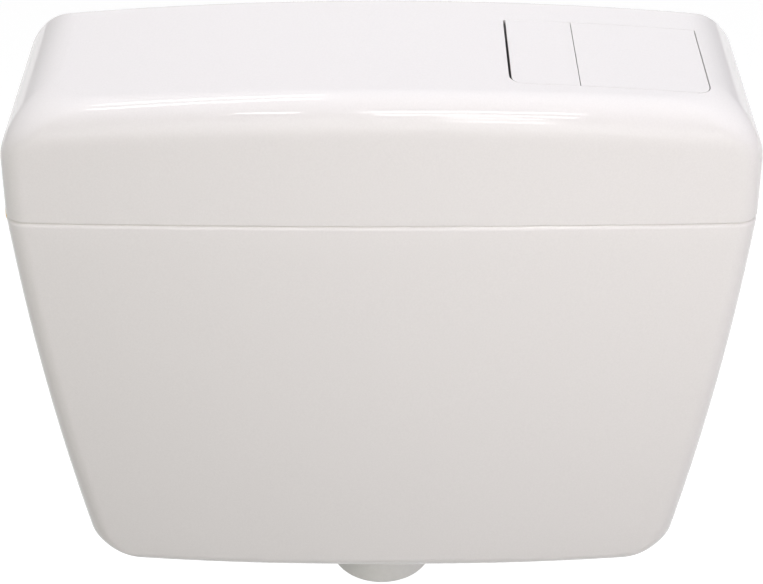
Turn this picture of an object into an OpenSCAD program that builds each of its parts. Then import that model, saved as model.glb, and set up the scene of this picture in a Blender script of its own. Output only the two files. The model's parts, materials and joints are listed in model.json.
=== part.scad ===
// Wall-hung toilet cistern with a two-key lid, its flush valve and its fill valve.
// Millimetres. X runs to the right, Y towards the wall and Z up.
// The origin lies on the wall plane, midway between the two wall screws.

/* [Tank] */
// Width of the tank at its rim
rim_w = 430; // [420:1:440]
// Draw-in of each side from the rim to the bottom, before the lower corners are rounded
side_taper = 34; // [26:0.5:38]
// Outward bulge of the side walls at half height
side_bulge = 4.7; // [2:0.1:6]
// Depth from the wall to the front corners at the rim
rim_d = 129; // [126:1:136]
// Draw-in of the front from the rim to the bottom
front_taper = 4; // [0:0.5:6]
// Forward bow of the front between its corners
front_bow = 3.6; // [1:0.1:6]
// Height of the tank from its bottom to its rim
tank_h = 265.5; // [250:0.5:285]
// Thickness of the tank's walls and floor
tank_wall = 4.2; // [4:0.1:5]
// Radius of the upright front edges, seen from above
corner_r = 14; // [10:1:20]
// Radius of the two lower corners, seen from the front
bottom_side_r = 27; // [22:1:36]
// Radius of the lower front edge
bottom_front_r = 9; // [7:1:12]
// Fall of the floor from its sides to the outlet
floor_fall = 4; // [2:0.5:6]
// Height of the lip that stands up inside the lid
lip_h = 7; // [5:0.5:9]
// Height of the rounded edge below the rim
rim_round_h = 4; // [2:0.5:6]
// Depth of that rounded edge
rim_round_in = 1.6; // [1:0.1:1.8]

/* [Lid] */
// Height of the lid above the rim, at the middle
lid_h = 77; // [72:1:86]
// Draw-in of the lid's sides and front from the rim up to the rounded edge
lid_draft = 0.75; // [0:0.25:1.5]
// Fall of the lid's top from the middle to its sides
lid_crown = 11; // [7:0.5:12]
// Thickness of the lid
lid_wall = 2.4; // [2:0.1:2.6]
// Radius of the lid's upper side edges
lid_side_r = 32; // [24:1:34]
// Radius of the lid's upper front edge
lid_front_r = 20; // [14:1:22]
// Radius of the lid's upper rear edge
lid_rear_r = 4; // [3:0.5:6]
// Radius of the lid's front corners at the top, seen from above
lid_top_corner_r = 26; // [18:1:32]
// Gap between the lid and the tank's lip
lip_clear = 0.3; // [0.2:0.05:0.4]

/* [Wall fixing] */
// Height of the rim above the wall screws
rim_z = 28; // [24:1:34]
// Distance between the two wall slots
slot_spacing = 230; // [200:1:260]
// Length of a wall slot
slot_len = 16; // [12:1:22]
// Width of a wall slot
slot_w = 8; // [7:0.5:9]
// Thickness of the pads round the slots
slot_pad = 2.5; // [1.5:0.5:4]

/* [Keys] */
// Distance of the key window from the lid's right side
key_side = 30.3; // [29:0.1:34]
// Width of the key window
window_w = 113.4; // [110:0.2:116]
// Part of that width up to the middle of the gap between the two keys
half_key_w = 39.6; // [36:0.2:44]
// Distance of the key window from the lid's front corners
key_front_in = 26; // [25:0.5:30]
// Rear edge of the key window, from the wall
key_rear = 26; // [24:0.5:28]
// Radius of the window's front corners
key_corner_r = 9; // [6:0.5:12]
// Gap at the left of the keys
gap_left = 1.8; // [1:0.1:2.2]
// Gap between the keys
gap_mid = 0.8; // [0.6:0.1:1.4]
// Gap at the right of the keys
gap_right = 1.2; // [0.8:0.1:1.8]
// Gap at the front and at the rear of the keys
gap_ends = 0.5; // [0.5:0.1:1.2]
// Thickness of a key's top
key_t = 3; // [2.4:0.1:3.4]
// Depth of a key's rim
key_skirt = 8; // [6:0.5:9]
// Distance of the key pin from the window's rear edge
hinge_in = 5; // [5:0.5:8]
// Depth of the key pin below the lid's top
hinge_drop = 14.5; // [14:0.5:16]
// Radius of the key pin
hinge_r = 2; // [1.5:0.1:2.2]
// Wall of the key frame
frame_t = 2.5; // [2:0.1:3]

/* [Rockers] */
// Height of the rocker pins above the rim
rocker_rise = 36; // [32:1:40]
// Half-flush rocker pin, from the middle
half_pivot_x = 45; // [40:1:50]
// Full-flush rocker pin, from the middle
full_pivot_x = 80; // [70:1:86]
// Radius of the rocker pins
rocker_pin_r = 2.5; // [2:0.1:3]
// Width of a rocker at its pin
rocker_w = 12; // [10:1:14]
// Radius of the round lifting nose
nose_r = 3.5; // [3:0.1:4]
// Radius of the pad that a key presses
pad_r = 4; // [3:0.1:5]
// Gap between a key's foot and its pad, and between a nose and its collar
touch_gap = 0.4; // [0.3:0.1:0.6]
// Thickness of the bracket's plate and ears
bracket_t = 3; // [2.5:0.1:4]

/* [Flush valve] */
// Distance of the outlet from the tank's front corners at the rim
outlet_front = 63; // [58:1:66]
// Depth of the union nut's end below the tank
outlet_drop = 40; // [39:1:52]
// Radius of the flush pipe that enters from below
pipe_r = 25; // [24:0.1:26]
// Gap between the flush pipe and its socket
pipe_clear = 0.25; // [0.1:0.05:0.4]
// Outer radius of the threaded spigot
spigot_r = 29.8; // [29:0.1:31]
// Outer radius of the union nut
union_r = 34; // [33.5:0.5:37]
// Outer radius of the outlet flange
flange_r = 41; // [39:0.5:43]
// Outer radius of the valve basket
basket_r = 38; // [37:0.5:40]
// Height of the valve basket above the flange
basket_h = 88; // [80:1:100]
// Outer radius of the overflow tube
stem_r = 13; // [12:0.5:14]
// Depth of the overflow's mouth below the rim
overflow_drop = 60; // [52:1:70]
// Height of the two ring floats
ring_float_h = 36; // [30:1:38]
// Distance of the half-flush rod in front of the stem
half_rod_d = 22; // [21:0.5:24]

/* [Fill valve] */
// Depth of the inlet below the rim
inlet_drop = 38; // [36:1:44]
// Distance of the inlet from the wall
inlet_d = 52; // [46:1:60]
// Outer radius of the inlet thread
inlet_r = 8.33; // [8:0.01:8.6]
// Free length of the inlet thread
inlet_free = 10; // [8:0.5:11]
// Length of the hush tube below the valve
drop_len = 105; // [80:1:108]
// Length of the float arm from its pin to the float's screw
arm_len = 90; // [80:1:94]
// Slope of the arm with the tank empty, in degrees below level
arm_rest = 35; // [32:1:36]
// Swing of the arm from empty to full, in degrees
arm_swing = 25; // [20:1:26]
// Depth of the float's top below the pin that it hangs on
float_hang = 22; // [18:1:26]
// Length of the float along X
float_l = 58; // [50:1:60]
// Width of the float along Y
float_w = 76; // [64:1:84]
// Height of the float
float_h = 40; // [34:1:46]

/* [Hidden] */
$fn = 64;

white = [0.93, 0.92, 0.91];
grey = [0.72, 0.73, 0.74];
blue = [0.35, 0.50, 0.68];
black = [0.10, 0.10, 0.11];
brass = [0.78, 0.63, 0.34];
steel = [0.70, 0.71, 0.72];

// Clearances of pins and plugs that stay in their holes, and of pieces that run on them
seat_clear = 0.05;
run_clear = 0.08;
// Gap at the sides of pieces that turn between two ears
ear_gap = 0.4;
// Wall of an eye or an ear round its pin
eye_wall = 3.5;
// Overlap of a cutting shape past the face that it cuts
over = 1;

// Steps round a corner and along the front of a shell
corner_n = 6;
front_n = 8;
edge_n = 8;
wall_n = 4;

bottom_w = rim_w - 2*side_taper;
bottom_d = rim_d - front_taper;
bottom_z = rim_z - tank_h;
floor_z = bottom_z + tank_wall;
lid_top_z = rim_z + lid_h;
lip_top_z = rim_z + lip_h;
// Draw-in that the lid has reached at the lip's top, at its sides
lip_draft = lid_draft*lip_h/(lid_h - lid_side_r - lid_crown);
lip_in = lid_wall + lip_draft + lip_clear;
// Radius of the arc that the lid's crown follows
crown_r = (pow(rim_w/2, 2) + pow(lid_crown, 2))/(2*lid_crown);

// Places of the ribs under the lid's top, from the leftmost
rib_first = -150;
rib_step = 60;
rib_n = 4;

// Rim of the pads round the wall slots
slot_rim = 6;
// Room round a washer in its spot face
spot_room = 3;

// Edges of the key window, from the middle and from the wall
key_right = rim_w/2 - key_side;
key_left = key_right - window_w;
key_split = key_left + half_key_w;
key_front = rim_d - key_front_in;

// Levels of the outlet, from the tank's floor up
outlet_d = rim_d - outlet_front;
flange_edge = 1;
spot_in = 0.5;
washer_t = 3;
flange_t = 4;
seat_h = 4;
seal_t = 3;
carrier_t = 4;
washer_z = floor_z - spot_in;
flange_z = washer_z + washer_t;
basket_z = flange_z + flange_t;
seat_z = basket_z + seat_h;
carrier_z = seat_z + seal_t;
basket_top_z = basket_z + basket_h;
stem_top_z = rim_z - overflow_drop;

// Levels of the outlet, from the tank's bottom down
backnut_z = bottom_z + spot_in;
backnut_t = 10;
union_z = bottom_z - outlet_drop;
union_lip = 4;
pipe_seal_t = 6;
spigot_z = union_z + union_lip + pipe_seal_t;
union_h = 28;
socket_r = pipe_r + pipe_clear;
socket_len = 28;
bore_r = 22.5;
seat_r = bore_r + 6;
stem_wall = 2;
retainer_t = 4;
thread_clear = 0.1;
hole_clear = 0.4;

// Heights and places of the key linkage
hinge_d = key_rear + hinge_in;
hinge_z = lid_top_z - hinge_drop;
rocker_z = rim_z + rocker_rise;
collar_z = rocker_z + nose_r + touch_gap;
full_lane = outlet_d;
half_lane = outlet_d + half_rod_d;
foot_r = 4;
pad_over = 8;
foot_z = rocker_z + pad_r + touch_gap + foot_r;
half_foot_x = (key_left + key_split)/2;
full_foot_x = (key_split + key_right)/2;
rod_r = 3.2;
slot_clear = 0.8;
collar_r = 9;
collar_t = 3;
frame_gap = 0.8;
lug_r = 4.2;
lug_w = 5;
lug_in = 6;
frame_below = 2;
frame_z = hinge_z - lug_r - frame_below;
screw_r = 1.25;
screw_clear = 0.45;
screw_in = 8;
boss_r = 4;
tab_t = 2.5;
screw_off = 8;
screw_left_in = 16;
screw_right_in = 22;
screw_xs = [key_left + screw_left_in, key_right - screw_right_in];
screw_ds = [key_front + screw_off, key_rear - screw_off];

// Places of the fill valve, measured from the middle towards the side wall
spot_side = 1.3;
wall_x = half_w(inlet_drop);
seat_out = wall_x - spot_side;
side_pad = 1.3;
seat_in = wall_x - tank_wall - side_pad;
inlet_z = rim_z - inlet_drop;
side_washer_t = 2.5;
side_nut_t = 6;
collar_in = 3;
body_end = seat_in - side_washer_t - collar_in;
stub_len = 9;
stub_r = 7;
nozzle_t = 3;
chamber_len = 11;
guide_len = 12;
nozzle_x = body_end - stub_len - nozzle_t;
guide_x = nozzle_x - chamber_len;
body_in = guide_x - guide_len;
port_x = nozzle_x - chamber_len/2;
arm_out = 6;
arm_pivot_x = body_in - arm_out;
cam_len = 12;
cam_r = 2.5;
cam_web = 1.2;
arm_pivot_z = inlet_z - cam_len;
piston_r = 5;
tip_r = 2.2;
tip_len = 8;
piston_seal_r = 3.6;
piston_seal_t = 2;
piston_in = arm_pivot_x - cam_len*sin(arm_swing) + cam_r + touch_gap;
piston_out = nozzle_x - cam_len*sin(arm_swing) - touch_gap;
arm_w = 12;
arm_pin_r = 2;
cheek_t = 3;
tube_r = 8;
tube_in = 12;
side_seal_r = 12.5;

// Sizes of the float's hanger
link_w = 8;
link_r = 4.5;
level_r = 3;
level_in = 12;
nut_r = 8;
nut_h = 6;
float_wall = 1.8;
float_corner_r = 10;

// Half width of the tank at a depth below its rim
function half_w(depth) = let (t = depth/tank_h)
    (rim_w + (bottom_w - rim_w)*t)/2 + 4*side_bulge*t*(1 - t);

// Depth of the tank at its front corners, at a depth below its rim
function tank_d(depth) = rim_d + (bottom_d - rim_d)*depth/tank_h;

// Fall of the lid's top at a distance from the middle
function crown(x) = crown_r - sqrt(pow(crown_r, 2) - x*x);

// Rise of the tank's floor at a distance from the middle
function floor_rise(x) = let (flat = flange_r + spot_room + over)
    floor_fall*pow(max(0, abs(x) - flat)/(bottom_w/2 - flat), 2);

// How far a quarter-round edge draws in, at a distance from the face that it meets
function drawn_in(r, s) = s >= r ? 0 : r - sqrt(r*r - pow(r - s, 2));

// Stations across a ring: the left corner, the front and the right corner
function stations(w, r) = concat(
    [for (i = [0:corner_n]) r - w - r*cos(90*i/corner_n)],
    [for (i = [1:front_n - 1]) (w - r)*(2*i/front_n - 1)],
    [for (i = [0:corner_n]) w - r + r*sin(90*i/corner_n)]);

// Front of a ring at a station
function front_d(x, w, d, r) = let (past = abs(x) - (w - r))
    past > 0 ? d - r + sqrt(max(0, r*r - past*past)) : d + front_bow*(1 - pow(x/(w - r), 2));

// One level ring of a shell: its front from left to right, then its back from right to left
function ring(w, d, r, back, level) = let (xs = stations(w, r))
    concat(
        [for (x = xs) [x, -front_d(x, w, d, r), level(x)]],
        [for (i = [len(xs) - 1:-1:0]) [xs[i], -back, level(xs[i])]]);

// Tank ring at a height above the bottom, drawn in from the outside
function tank_ring(up, in, edge = 0) = let (
        depth = tank_h - up,
        above = max(0, up - in),
        flow = max(0, 1 - above/bottom_side_r))
    ring(
        half_w(max(0, depth)) - in - edge - drawn_in(bottom_side_r - in, above),
        tank_d(max(0, depth)) - in - edge - drawn_in(bottom_front_r - in, above),
        corner_r - in - edge, in,
        function (x) rim_z - depth + flow*floor_rise(x));

// Lid ring at a height above the rim, drawn in from the outside
function lid_ring(up, in) = let (
        top = lid_h - in,
        below = top - up,
        rise = min(1, up/(lid_h - lid_side_r)),
        blend = max(0, 1 - below/lid_front_r))
    ring(
        rim_w/2 - lid_draft*rise - in - drawn_in(lid_side_r - in, below),
        rim_d - lid_draft*rise - in - drawn_in(lid_front_r - in, below),
        corner_r - in + (lid_top_corner_r - corner_r)*blend,
        in + drawn_in(lid_rear_r, below),
        function (x) rim_z + up - crown(x)*rise);

// Heights of the rings round an edge of a radius, away from the face that it meets
function edge_steps(r) = [for (i = [0:edge_n]) r*(1 - cos(90*i/edge_n))];

// Heights between two levels, without the first
function wall_steps(from, to) = [for (i = [1:wall_n]) from + (to - from)*i/wall_n];

// A closed skin through a list of rings, with a strip of faces over its first and its last ring
module loft(rings) {
    n = len(rings[0]);
    m = n/2;
    last = (len(rings) - 1)*n;
    points = [for (one = rings) for (p = one) p];
    sides = [for (k = [0:len(rings) - 2], j = [0:n - 1])
        [k*n + j, (k + 1)*n + j, (k + 1)*n + (j + 1)%n, k*n + (j + 1)%n]];
    first_cap = [for (j = [0:m - 2]) [j, j + 1, n - 2 - j, n - 1 - j]];
    last_cap = [for (f = first_cap) [for (i = [3:-1:0]) last + f[i]]];
    polyhedron(points, concat(first_cap, sides, last_cap), convexity = 6);
}

// Lays a flat outline, drawn in X and Z, upright, and gives it a thickness towards the front
module upright(y, t) {
    translate([0, y, 0]) rotate([90, 0, 0]) linear_extrude(t) children();
}

// Turns a piece that is drawn along Z, so that it runs along X or Y
module along_x(at) { translate(at) rotate([0, 90, 0]) children(); }
module along_y(at) { translate(at) rotate([-90, 0, 0]) children(); }

// Places a piece on the inlet's axis, drawn from the middle outwards
module at_left() { translate([0, -inlet_d, inlet_z]) rotate([0, -90, 0]) children(); }
module at_right() { translate([0, -inlet_d, inlet_z]) rotate([0, 90, 0]) children(); }

// Places a piece on the outlet's axis
module at_outlet(z) { translate([0, -outlet_d, z]) children(); }

// A plain ring that stands on its level
module plain_ring(r_out, r_in, h) {
    difference() {
        cylinder(r = r_out, h = h);
        translate([0, 0, -over]) cylinder(r = r_in, h = h + 2*over);
    }
}

// Round bar between two heights, with the radius and a hole along it
module tube_between(z0, z1, r_out, r_in) {
    translate([0, 0, z0]) plain_ring(r_out, r_in, z1 - z0);
}

// Outline seen from above with rounded front corners
module key_outline(x0, x1, front, rear, left_r, right_r) {
    difference() {
        translate([x0, -front]) square([x1 - x0, front - rear]);
        translate([x0, -front]) corner_cut(left_r);
        translate([x1, -front]) mirror([1, 0]) corner_cut(right_r);
    }
}

module corner_cut(r) {
    if (r > 0) difference() {
        translate([-over, -over]) square(r + over);
        translate([r, r]) circle(r);
    }
}

// Everything below the lid's crown, lowered by a distance
module below_crown(drop) {
    upright(0, rim_d) intersection() {
        translate([0, lid_top_z - crown_r]) circle(crown_r - drop, $fn = 1024);
        translate([0, rim_z]) square([rim_w/2, lid_h + over]);
    }
}

// Shells

module tank_shell() {
    rounding = edge_steps(bottom_side_r);
    inner_rounding = edge_steps(bottom_side_r - tank_wall);
    straight = tank_h - rim_round_h;
    outer = concat(
        [for (s = rounding) tank_ring(s, 0)],
        [for (s = wall_steps(bottom_side_r, straight)) tank_ring(s, 0)],
        [for (a = [30, 60, 90])
            tank_ring(straight + rim_round_h*sin(a), 0, rim_round_in*(1 - cos(a)))]);
    lip = [tank_ring(tank_h, lip_in), tank_ring(tank_h + lip_h, lip_in)];
    inner = concat(
        [tank_ring(tank_h + lip_h, tank_wall)],
        [for (s = wall_steps(tank_h, bottom_side_r)) tank_ring(s, tank_wall)],
        [for (i = [edge_n - 1:-1:0]) tank_ring(tank_wall + inner_rounding[i], tank_wall)]);
    color(white) difference() {
        union() {
            loft(concat(outer, lip, inner));
            for (side = [-1, 1]) slot_boss(side);
            at_left() inlet_boss();
            at_right() inlet_boss();
        }
        outlet_cut();
        at_left() inlet_cut();
        at_right() inlet_cut();
        for (side = [-1, 1]) slot_cut(side);
    }
}

module slot_outline(side, grow) {
    reach = (slot_len - slot_w)/2;
    r = slot_w/2 + grow;
    translate([side*slot_spacing/2, 0]) {
        square([2*reach, 2*r], center = true);
        for (end = [-1, 1]) translate([end*reach, 0]) circle(r);
    }
}

module slot_boss(side) { upright(-tank_wall/2, tank_wall/2 + slot_pad) slot_outline(side, slot_rim); }

module slot_cut(side) { upright(over, tank_wall + slot_pad + 2*over) slot_outline(side, 0); }

module outlet_cut() {
    spot_r = flange_r + spot_room;
    at_outlet(bottom_z - over) cylinder(r = spigot_r + hole_clear, h = tank_wall + 2*over);
    at_outlet(washer_z) cylinder(r = spot_r, h = 2*over);
    at_outlet(backnut_z - 2*over) cylinder(r = spot_r, h = 2*over);
}

// Flat boss inside the sloping side wall, under a side washer
module inlet_boss() {
    translate([0, 0, seat_in]) cylinder(r = side_seal_r + spot_room, h = side_pad + tank_wall/2);
}

module inlet_cut() {
    deep = 4*over;
    translate([0, 0, seat_in - over]) cylinder(r = inlet_r + hole_clear, h = seat_out - seat_in + 2*over);
    translate([0, 0, seat_out]) cylinder(r = side_seal_r + spot_room, h = deep);
}

module lid_shell() {
    straight = lid_h - lid_side_r;
    inner_rounding = edge_steps(lid_side_r - lid_wall);
    outer_rounding = edge_steps(lid_side_r);
    inner = concat(
        [for (s = inner_rounding) lid_ring(lid_h - lid_wall - s, lid_wall)],
        [for (u = wall_steps(straight, 0)) lid_ring(u, lid_wall)]);
    outer = concat(
        [for (i = [0:wall_n - 1]) lid_ring(straight*i/wall_n, 0)],
        [for (i = [edge_n:-1:0]) lid_ring(lid_h - outer_rounding[i], 0)]);
    color(white) difference() {
        union() {
            loft(concat(inner, outer));
            for (x = screw_xs, d = screw_ds) screw_boss(x, d);
            for (i = [0:rib_n - 1]) lid_rib(rib_first + rib_step*i);
        }
        translate([0, 0, frame_z]) linear_extrude(lid_h)
            key_outline(key_left, key_right, key_front, key_rear, key_corner_r, key_corner_r);
        for (x = screw_xs, d = screw_ds) translate([x, -d, frame_z])
            cylinder(r = screw_r + seat_clear, h = tab_t + screw_in + over);
    }
}

// Rib under the lid's top, from front to rear
module lid_rib(x) {
    rib_t = 1.6;
    rib_h = 8;
    end = 3;
    top = lid_top_z - crown(x) - lid_wall/2;
    front = rim_d - lid_front_r - end;
    rear = lid_wall + lid_rear_r + end;
    translate([x - rib_t/2, -front, top - rib_h]) cube([rib_t, front - rear, rib_h]);
}

// Boss under the lid's top for one frame screw
module screw_boss(x, d) {
    boss_in = 1.9;
    top = lid_top_z - crown(x) - boss_in;
    translate([x, -d, frame_z + tab_t]) cylinder(r = boss_r, h = top - frame_z - tab_t);
}

// Keys and their frame

module flush_key(x0, x1, left_r, right_r, foot_x) {
    front = key_front - gap_ends;
    rear = key_rear + gap_ends;
    rim = 2;
    difference() {
        union() {
            intersection() {
                translate([0, 0, hinge_z - lug_r]) linear_extrude(lid_h)
                    key_outline(x0, x1, front, rear, left_r, right_r);
                difference() {
                    below_crown(0);
                    below_crown(key_skirt);
                }
            }
            intersection() {
                below_crown(key_t/2);
                union() {
                    key_foot(foot_x);
                    for (x = [x0 + lug_in, x1 - lug_in - lug_w]) key_lug(x);
                }
            }
        }
        difference() {
            intersection() {
                translate([0, 0, rim_z]) linear_extrude(lid_h)
                    key_outline(x0 + rim, x1 - rim, front - rim, rear + rim,
                        max(0, left_r - rim), max(0, right_r - rim));
                below_crown(key_t);
            }
            key_foot(foot_x);
            for (x = [x0 + lug_in, x1 - lug_in - lug_w]) key_lug(x);
        }
        along_x([x0 - over, -hinge_d, hinge_z])
            cylinder(r = hinge_r + run_clear, h = x1 - x0 + 2*over);
    }
}

// Leg and round foot that press on a rocker's pad
module key_foot(x) {
    leg_w = 12;
    leg_t = 4;
    foot_w = 16;
    translate([x - leg_w/2, -half_lane - leg_t/2, foot_z]) cube([leg_w, leg_t, lid_h]);
    along_x([x - foot_w/2, -half_lane, foot_z]) cylinder(r = foot_r, h = foot_w);
}

// Eye round the key pin, hung from the key's top
module key_lug(x) {
    neck_in = 1;
    neck = lug_r - neck_in;
    along_x([x, -hinge_d, hinge_z]) cylinder(r = lug_r, h = lug_w);
    translate([x, -hinge_d - neck, hinge_z]) cube([lug_w, 2*neck, lid_h]);
}

module half_flush_key() {
    color(white) flush_key(key_left + gap_left, key_split - gap_mid/2,
        key_corner_r - gap_left, 0, half_foot_x);
}

module full_flush_key() {
    color(white) flush_key(key_split + gap_mid/2, key_right - gap_right,
        0, key_corner_r - gap_right, full_foot_x);
}

module key_frame() {
    lid_gap = 1;
    outer = frame_gap + frame_t;
    color(white) difference() {
        intersection() {
            translate([0, 0, frame_z]) linear_extrude(lid_h)
                key_outline(key_left - outer, key_right + outer, key_front + outer, key_rear - outer,
                    key_corner_r + outer, key_corner_r + outer);
            below_crown(lid_wall + lid_gap);
        }
        translate([0, 0, frame_z - over]) linear_extrude(lid_h)
            key_outline(key_left - frame_gap, key_right + frame_gap, key_front + frame_gap,
                key_rear - frame_gap, key_corner_r + frame_gap, key_corner_r + frame_gap);
        along_x([key_left - outer - over, -hinge_d, hinge_z])
            cylinder(r = hinge_r + seat_clear, h = key_right - key_left + 2*(outer + over));
    }
    color(white) for (x = screw_xs, d = screw_ds) frame_tab(x, d);
}

// Ear of the frame under one boss
module frame_tab(x, d) {
    tab_edge = 2;
    tab_r = boss_r + tab_edge;
    inward = d > key_front ? 1 : -1;
    wall_d = d > key_front ? key_front + frame_gap : key_rear - frame_gap;
    reach = abs(d - wall_d) - frame_t/2;
    translate([x, -d, frame_z]) linear_extrude(tab_t) difference() {
        union() {
            circle(tab_r);
            translate([-tab_r, inward > 0 ? 0 : -reach]) square([2*tab_r, reach]);
        }
        circle(screw_r + screw_clear);
    }
}

module frame_screws() {
    head_r = 3.2;
    head_t = 2.2;
    color(steel) for (x = screw_xs, d = screw_ds) translate([x, -d, frame_z - head_t]) {
        cylinder(r = head_r, h = head_t);
        cylinder(r = screw_r, h = head_t + tab_t + screw_in);
    }
}

module key_hinge_pin() {
    outer = frame_gap + frame_t;
    color(steel) along_x([key_left - outer, -hinge_d, hinge_z])
        cylinder(r = hinge_r, h = key_right - key_left + 2*outer);
}

// Rockers and their bracket

// Lever with a fork at the lift rod, a boss at its pin and a pad under its key
module rocker(lane, pivot_x, pad_x, pad_front, pad_rear) {
    arm_t = 6;
    tip = 2.5;
    deep = 5.5;
    prong = 4;
    slot = rod_r + slot_clear;
    fork_w = 2*(slot + prong);
    fork_len = 14;
    slot_over = 4;
    slot_end = rod_r + slot_over;
    difference() {
        union() {
            translate([0, 0, rocker_z]) upright(-lane + arm_t/2, arm_t)
                polygon([[0, -tip], [pivot_x, -deep], [pad_x, -tip],
                    [pad_x, tip], [pivot_x, deep], [0, tip]]);
            translate([0, -lane - fork_w/2, rocker_z - tip]) cube([fork_len, fork_w, 2*tip]);
            along_y([0, -lane - fork_w/2, rocker_z]) cylinder(r = nose_r, h = fork_w);
            along_y([pivot_x, -lane - rocker_w/2, rocker_z])
                cylinder(r = rocker_pin_r + eye_wall, h = rocker_w);
            along_y([pad_x, -pad_front, rocker_z]) cylinder(r = pad_r, h = pad_front - pad_rear);
        }
        translate([-fork_len, -lane - slot, rocker_z - 2*nose_r])
            cube([fork_len + slot_end, 2*slot, 4*nose_r]);
        along_y([pivot_x, -lane - rocker_w, rocker_z])
            cylinder(r = rocker_pin_r + run_clear, h = 2*rocker_w);
    }
}

module half_rocker() {
    color(grey) rocker(half_lane, half_pivot_x, half_foot_x, half_lane + pad_over, half_lane - pad_over);
}

module full_rocker() {
    color(grey) rocker(full_lane, full_pivot_x, full_foot_x, half_lane + pad_over, full_lane - rocker_w/2);
}

// Distances from the wall of a pin's two ears, on the sides that face the rocker
function ear_in(lane) = [lane + rocker_w/2 + ear_gap, lane - rocker_w/2 - ear_gap];

module lever_bracket() {
    side = 10;
    x0 = half_pivot_x - side;
    x1 = full_pivot_x + side;
    lip_front = front_d(x1, half_w(0) - tank_wall, rim_d - tank_wall, corner_r - tank_wall);
    rest = tank_wall - lip_in - lip_clear;
    hook_gap = 0.4;
    hook_h = 12;
    color(grey) difference() {
        union() {
            translate([x0, -lip_front - rest, lip_top_z])
                cube([x1 - x0, lip_front - tank_wall + 2*rest, bracket_t]);
            for (y = [hook_gap - lip_front, -tank_wall - hook_gap - bracket_t])
                translate([x0, y, lip_top_z - hook_h]) cube([x1 - x0, bracket_t, hook_h + bracket_t]);
            bracket_ears(half_pivot_x, half_lane);
            bracket_ears(full_pivot_x, full_lane);
        }
        for (x = [half_pivot_x, full_pivot_x]) bracket_window(x);
        bracket_bore(half_pivot_x, half_lane);
        bracket_bore(full_pivot_x, full_lane);
    }
}

module bracket_ears(x, lane) {
    foot = 9;
    foot_level = lip_top_z + bracket_t/2;
    r = rocker_pin_r + eye_wall;
    ears = ear_in(lane);
    for (y = [-ears[0], bracket_t - ears[1]]) upright(y, bracket_t) {
        translate([x, rocker_z]) circle(r);
        polygon([[x - foot, foot_level], [x + foot, foot_level], [x + r, rocker_z], [x - r, rocker_z]]);
    }
}

// Opening through the bracket's plate behind the ears, where water drains
module bracket_window(x) {
    w = 12;
    rear_edge = 14;
    front_edge = 16;
    rear = tank_wall + rear_edge;
    front = full_lane - rocker_w/2 - front_edge;
    translate([x - w/2, -front, lip_top_z - over]) cube([w, front - rear, bracket_t + 2*over]);
}

module bracket_bore(x, lane) {
    along_y([x, -lane - rocker_w, rocker_z]) cylinder(r = rocker_pin_r + seat_clear, h = 2*rocker_w);
}

// Headed pin through a pair of ears
module rocker_pin(x, lane) {
    head_t = 1.5;
    head_over = 1.5;
    pin_out = 2;
    ears = ear_in(lane);
    front = ears[0] + bracket_t;
    rear = ears[1] - bracket_t - pin_out;
    along_y([x, -front - head_t, rocker_z]) {
        cylinder(r = rocker_pin_r + head_over, h = head_t);
        cylinder(r = rocker_pin_r, h = head_t + front - rear);
    }
}

module half_pivot_pin() { color(steel) rocker_pin(half_pivot_x, half_lane); }

module full_pivot_pin() { color(steel) rocker_pin(full_pivot_x, full_lane); }

// Outlet

module outlet_body() {
    seat_land = 3;
    color(white) at_outlet(0) rotate_extrude() polygon([
        [socket_r, spigot_z], [spigot_r, spigot_z], [spigot_r, flange_z], [flange_r, flange_z],
        [flange_r, basket_z], [seat_r, basket_z], [seat_r, seat_z], [seat_r - seat_land, seat_z],
        [bore_r, basket_z], [bore_r, spigot_z + socket_len + socket_r - bore_r],
        [socket_r, spigot_z + socket_len]]);
}

module outlet_washer() {
    color(black) at_outlet(washer_z) plain_ring(flange_r - flange_edge, spigot_r + seat_clear, washer_t);
}

module outlet_backnut() {
    lugs = 8;
    lug = 6;
    lug_out = 4;
    rim_t = 3;
    nut_wall = 7;
    rim_over = 1;
    body_r = spigot_r + nut_wall;
    color(white) at_outlet(backnut_z - backnut_t) difference() {
        union() {
            cylinder(r = body_r, h = backnut_t);
            translate([0, 0, backnut_t - rim_t]) cylinder(r = flange_r + rim_over, h = rim_t);
            for (i = [0:lugs - 1]) rotate(360*i/lugs)
                translate([body_r + lug_out - lug, -lug/2, 0]) cube([lug, lug, backnut_t - rim_t/2]);
        }
        translate([0, 0, -over]) cylinder(r = spigot_r + thread_clear, h = backnut_t + 2*over);
    }
}

module union_nut() {
    mouth_clear = 0.8;
    mouth_r = socket_r + mouth_clear;
    bead = 4;
    bevel = 1.2;
    color(white) at_outlet(union_z) rotate_extrude() difference() {
        union() {
            polygon([[mouth_r, 0], [union_r - bead, 0], [union_r - bead, bead], [union_r, bead],
                [union_r, union_h - bevel], [union_r - bevel, union_h], [mouth_r, union_h]]);
            translate([union_r - bead, bead]) circle(bead);
        }
        translate([0, union_lip]) square([spigot_r + thread_clear, union_h]);
    }
}

module pipe_seal() {
    out_gap = 0.2;
    in_gap = 0.15;
    color(black) at_outlet(union_z + union_lip)
        plain_ring(spigot_r - out_gap, socket_r + in_gap, pipe_seal_t);
}

// Flush valve

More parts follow.
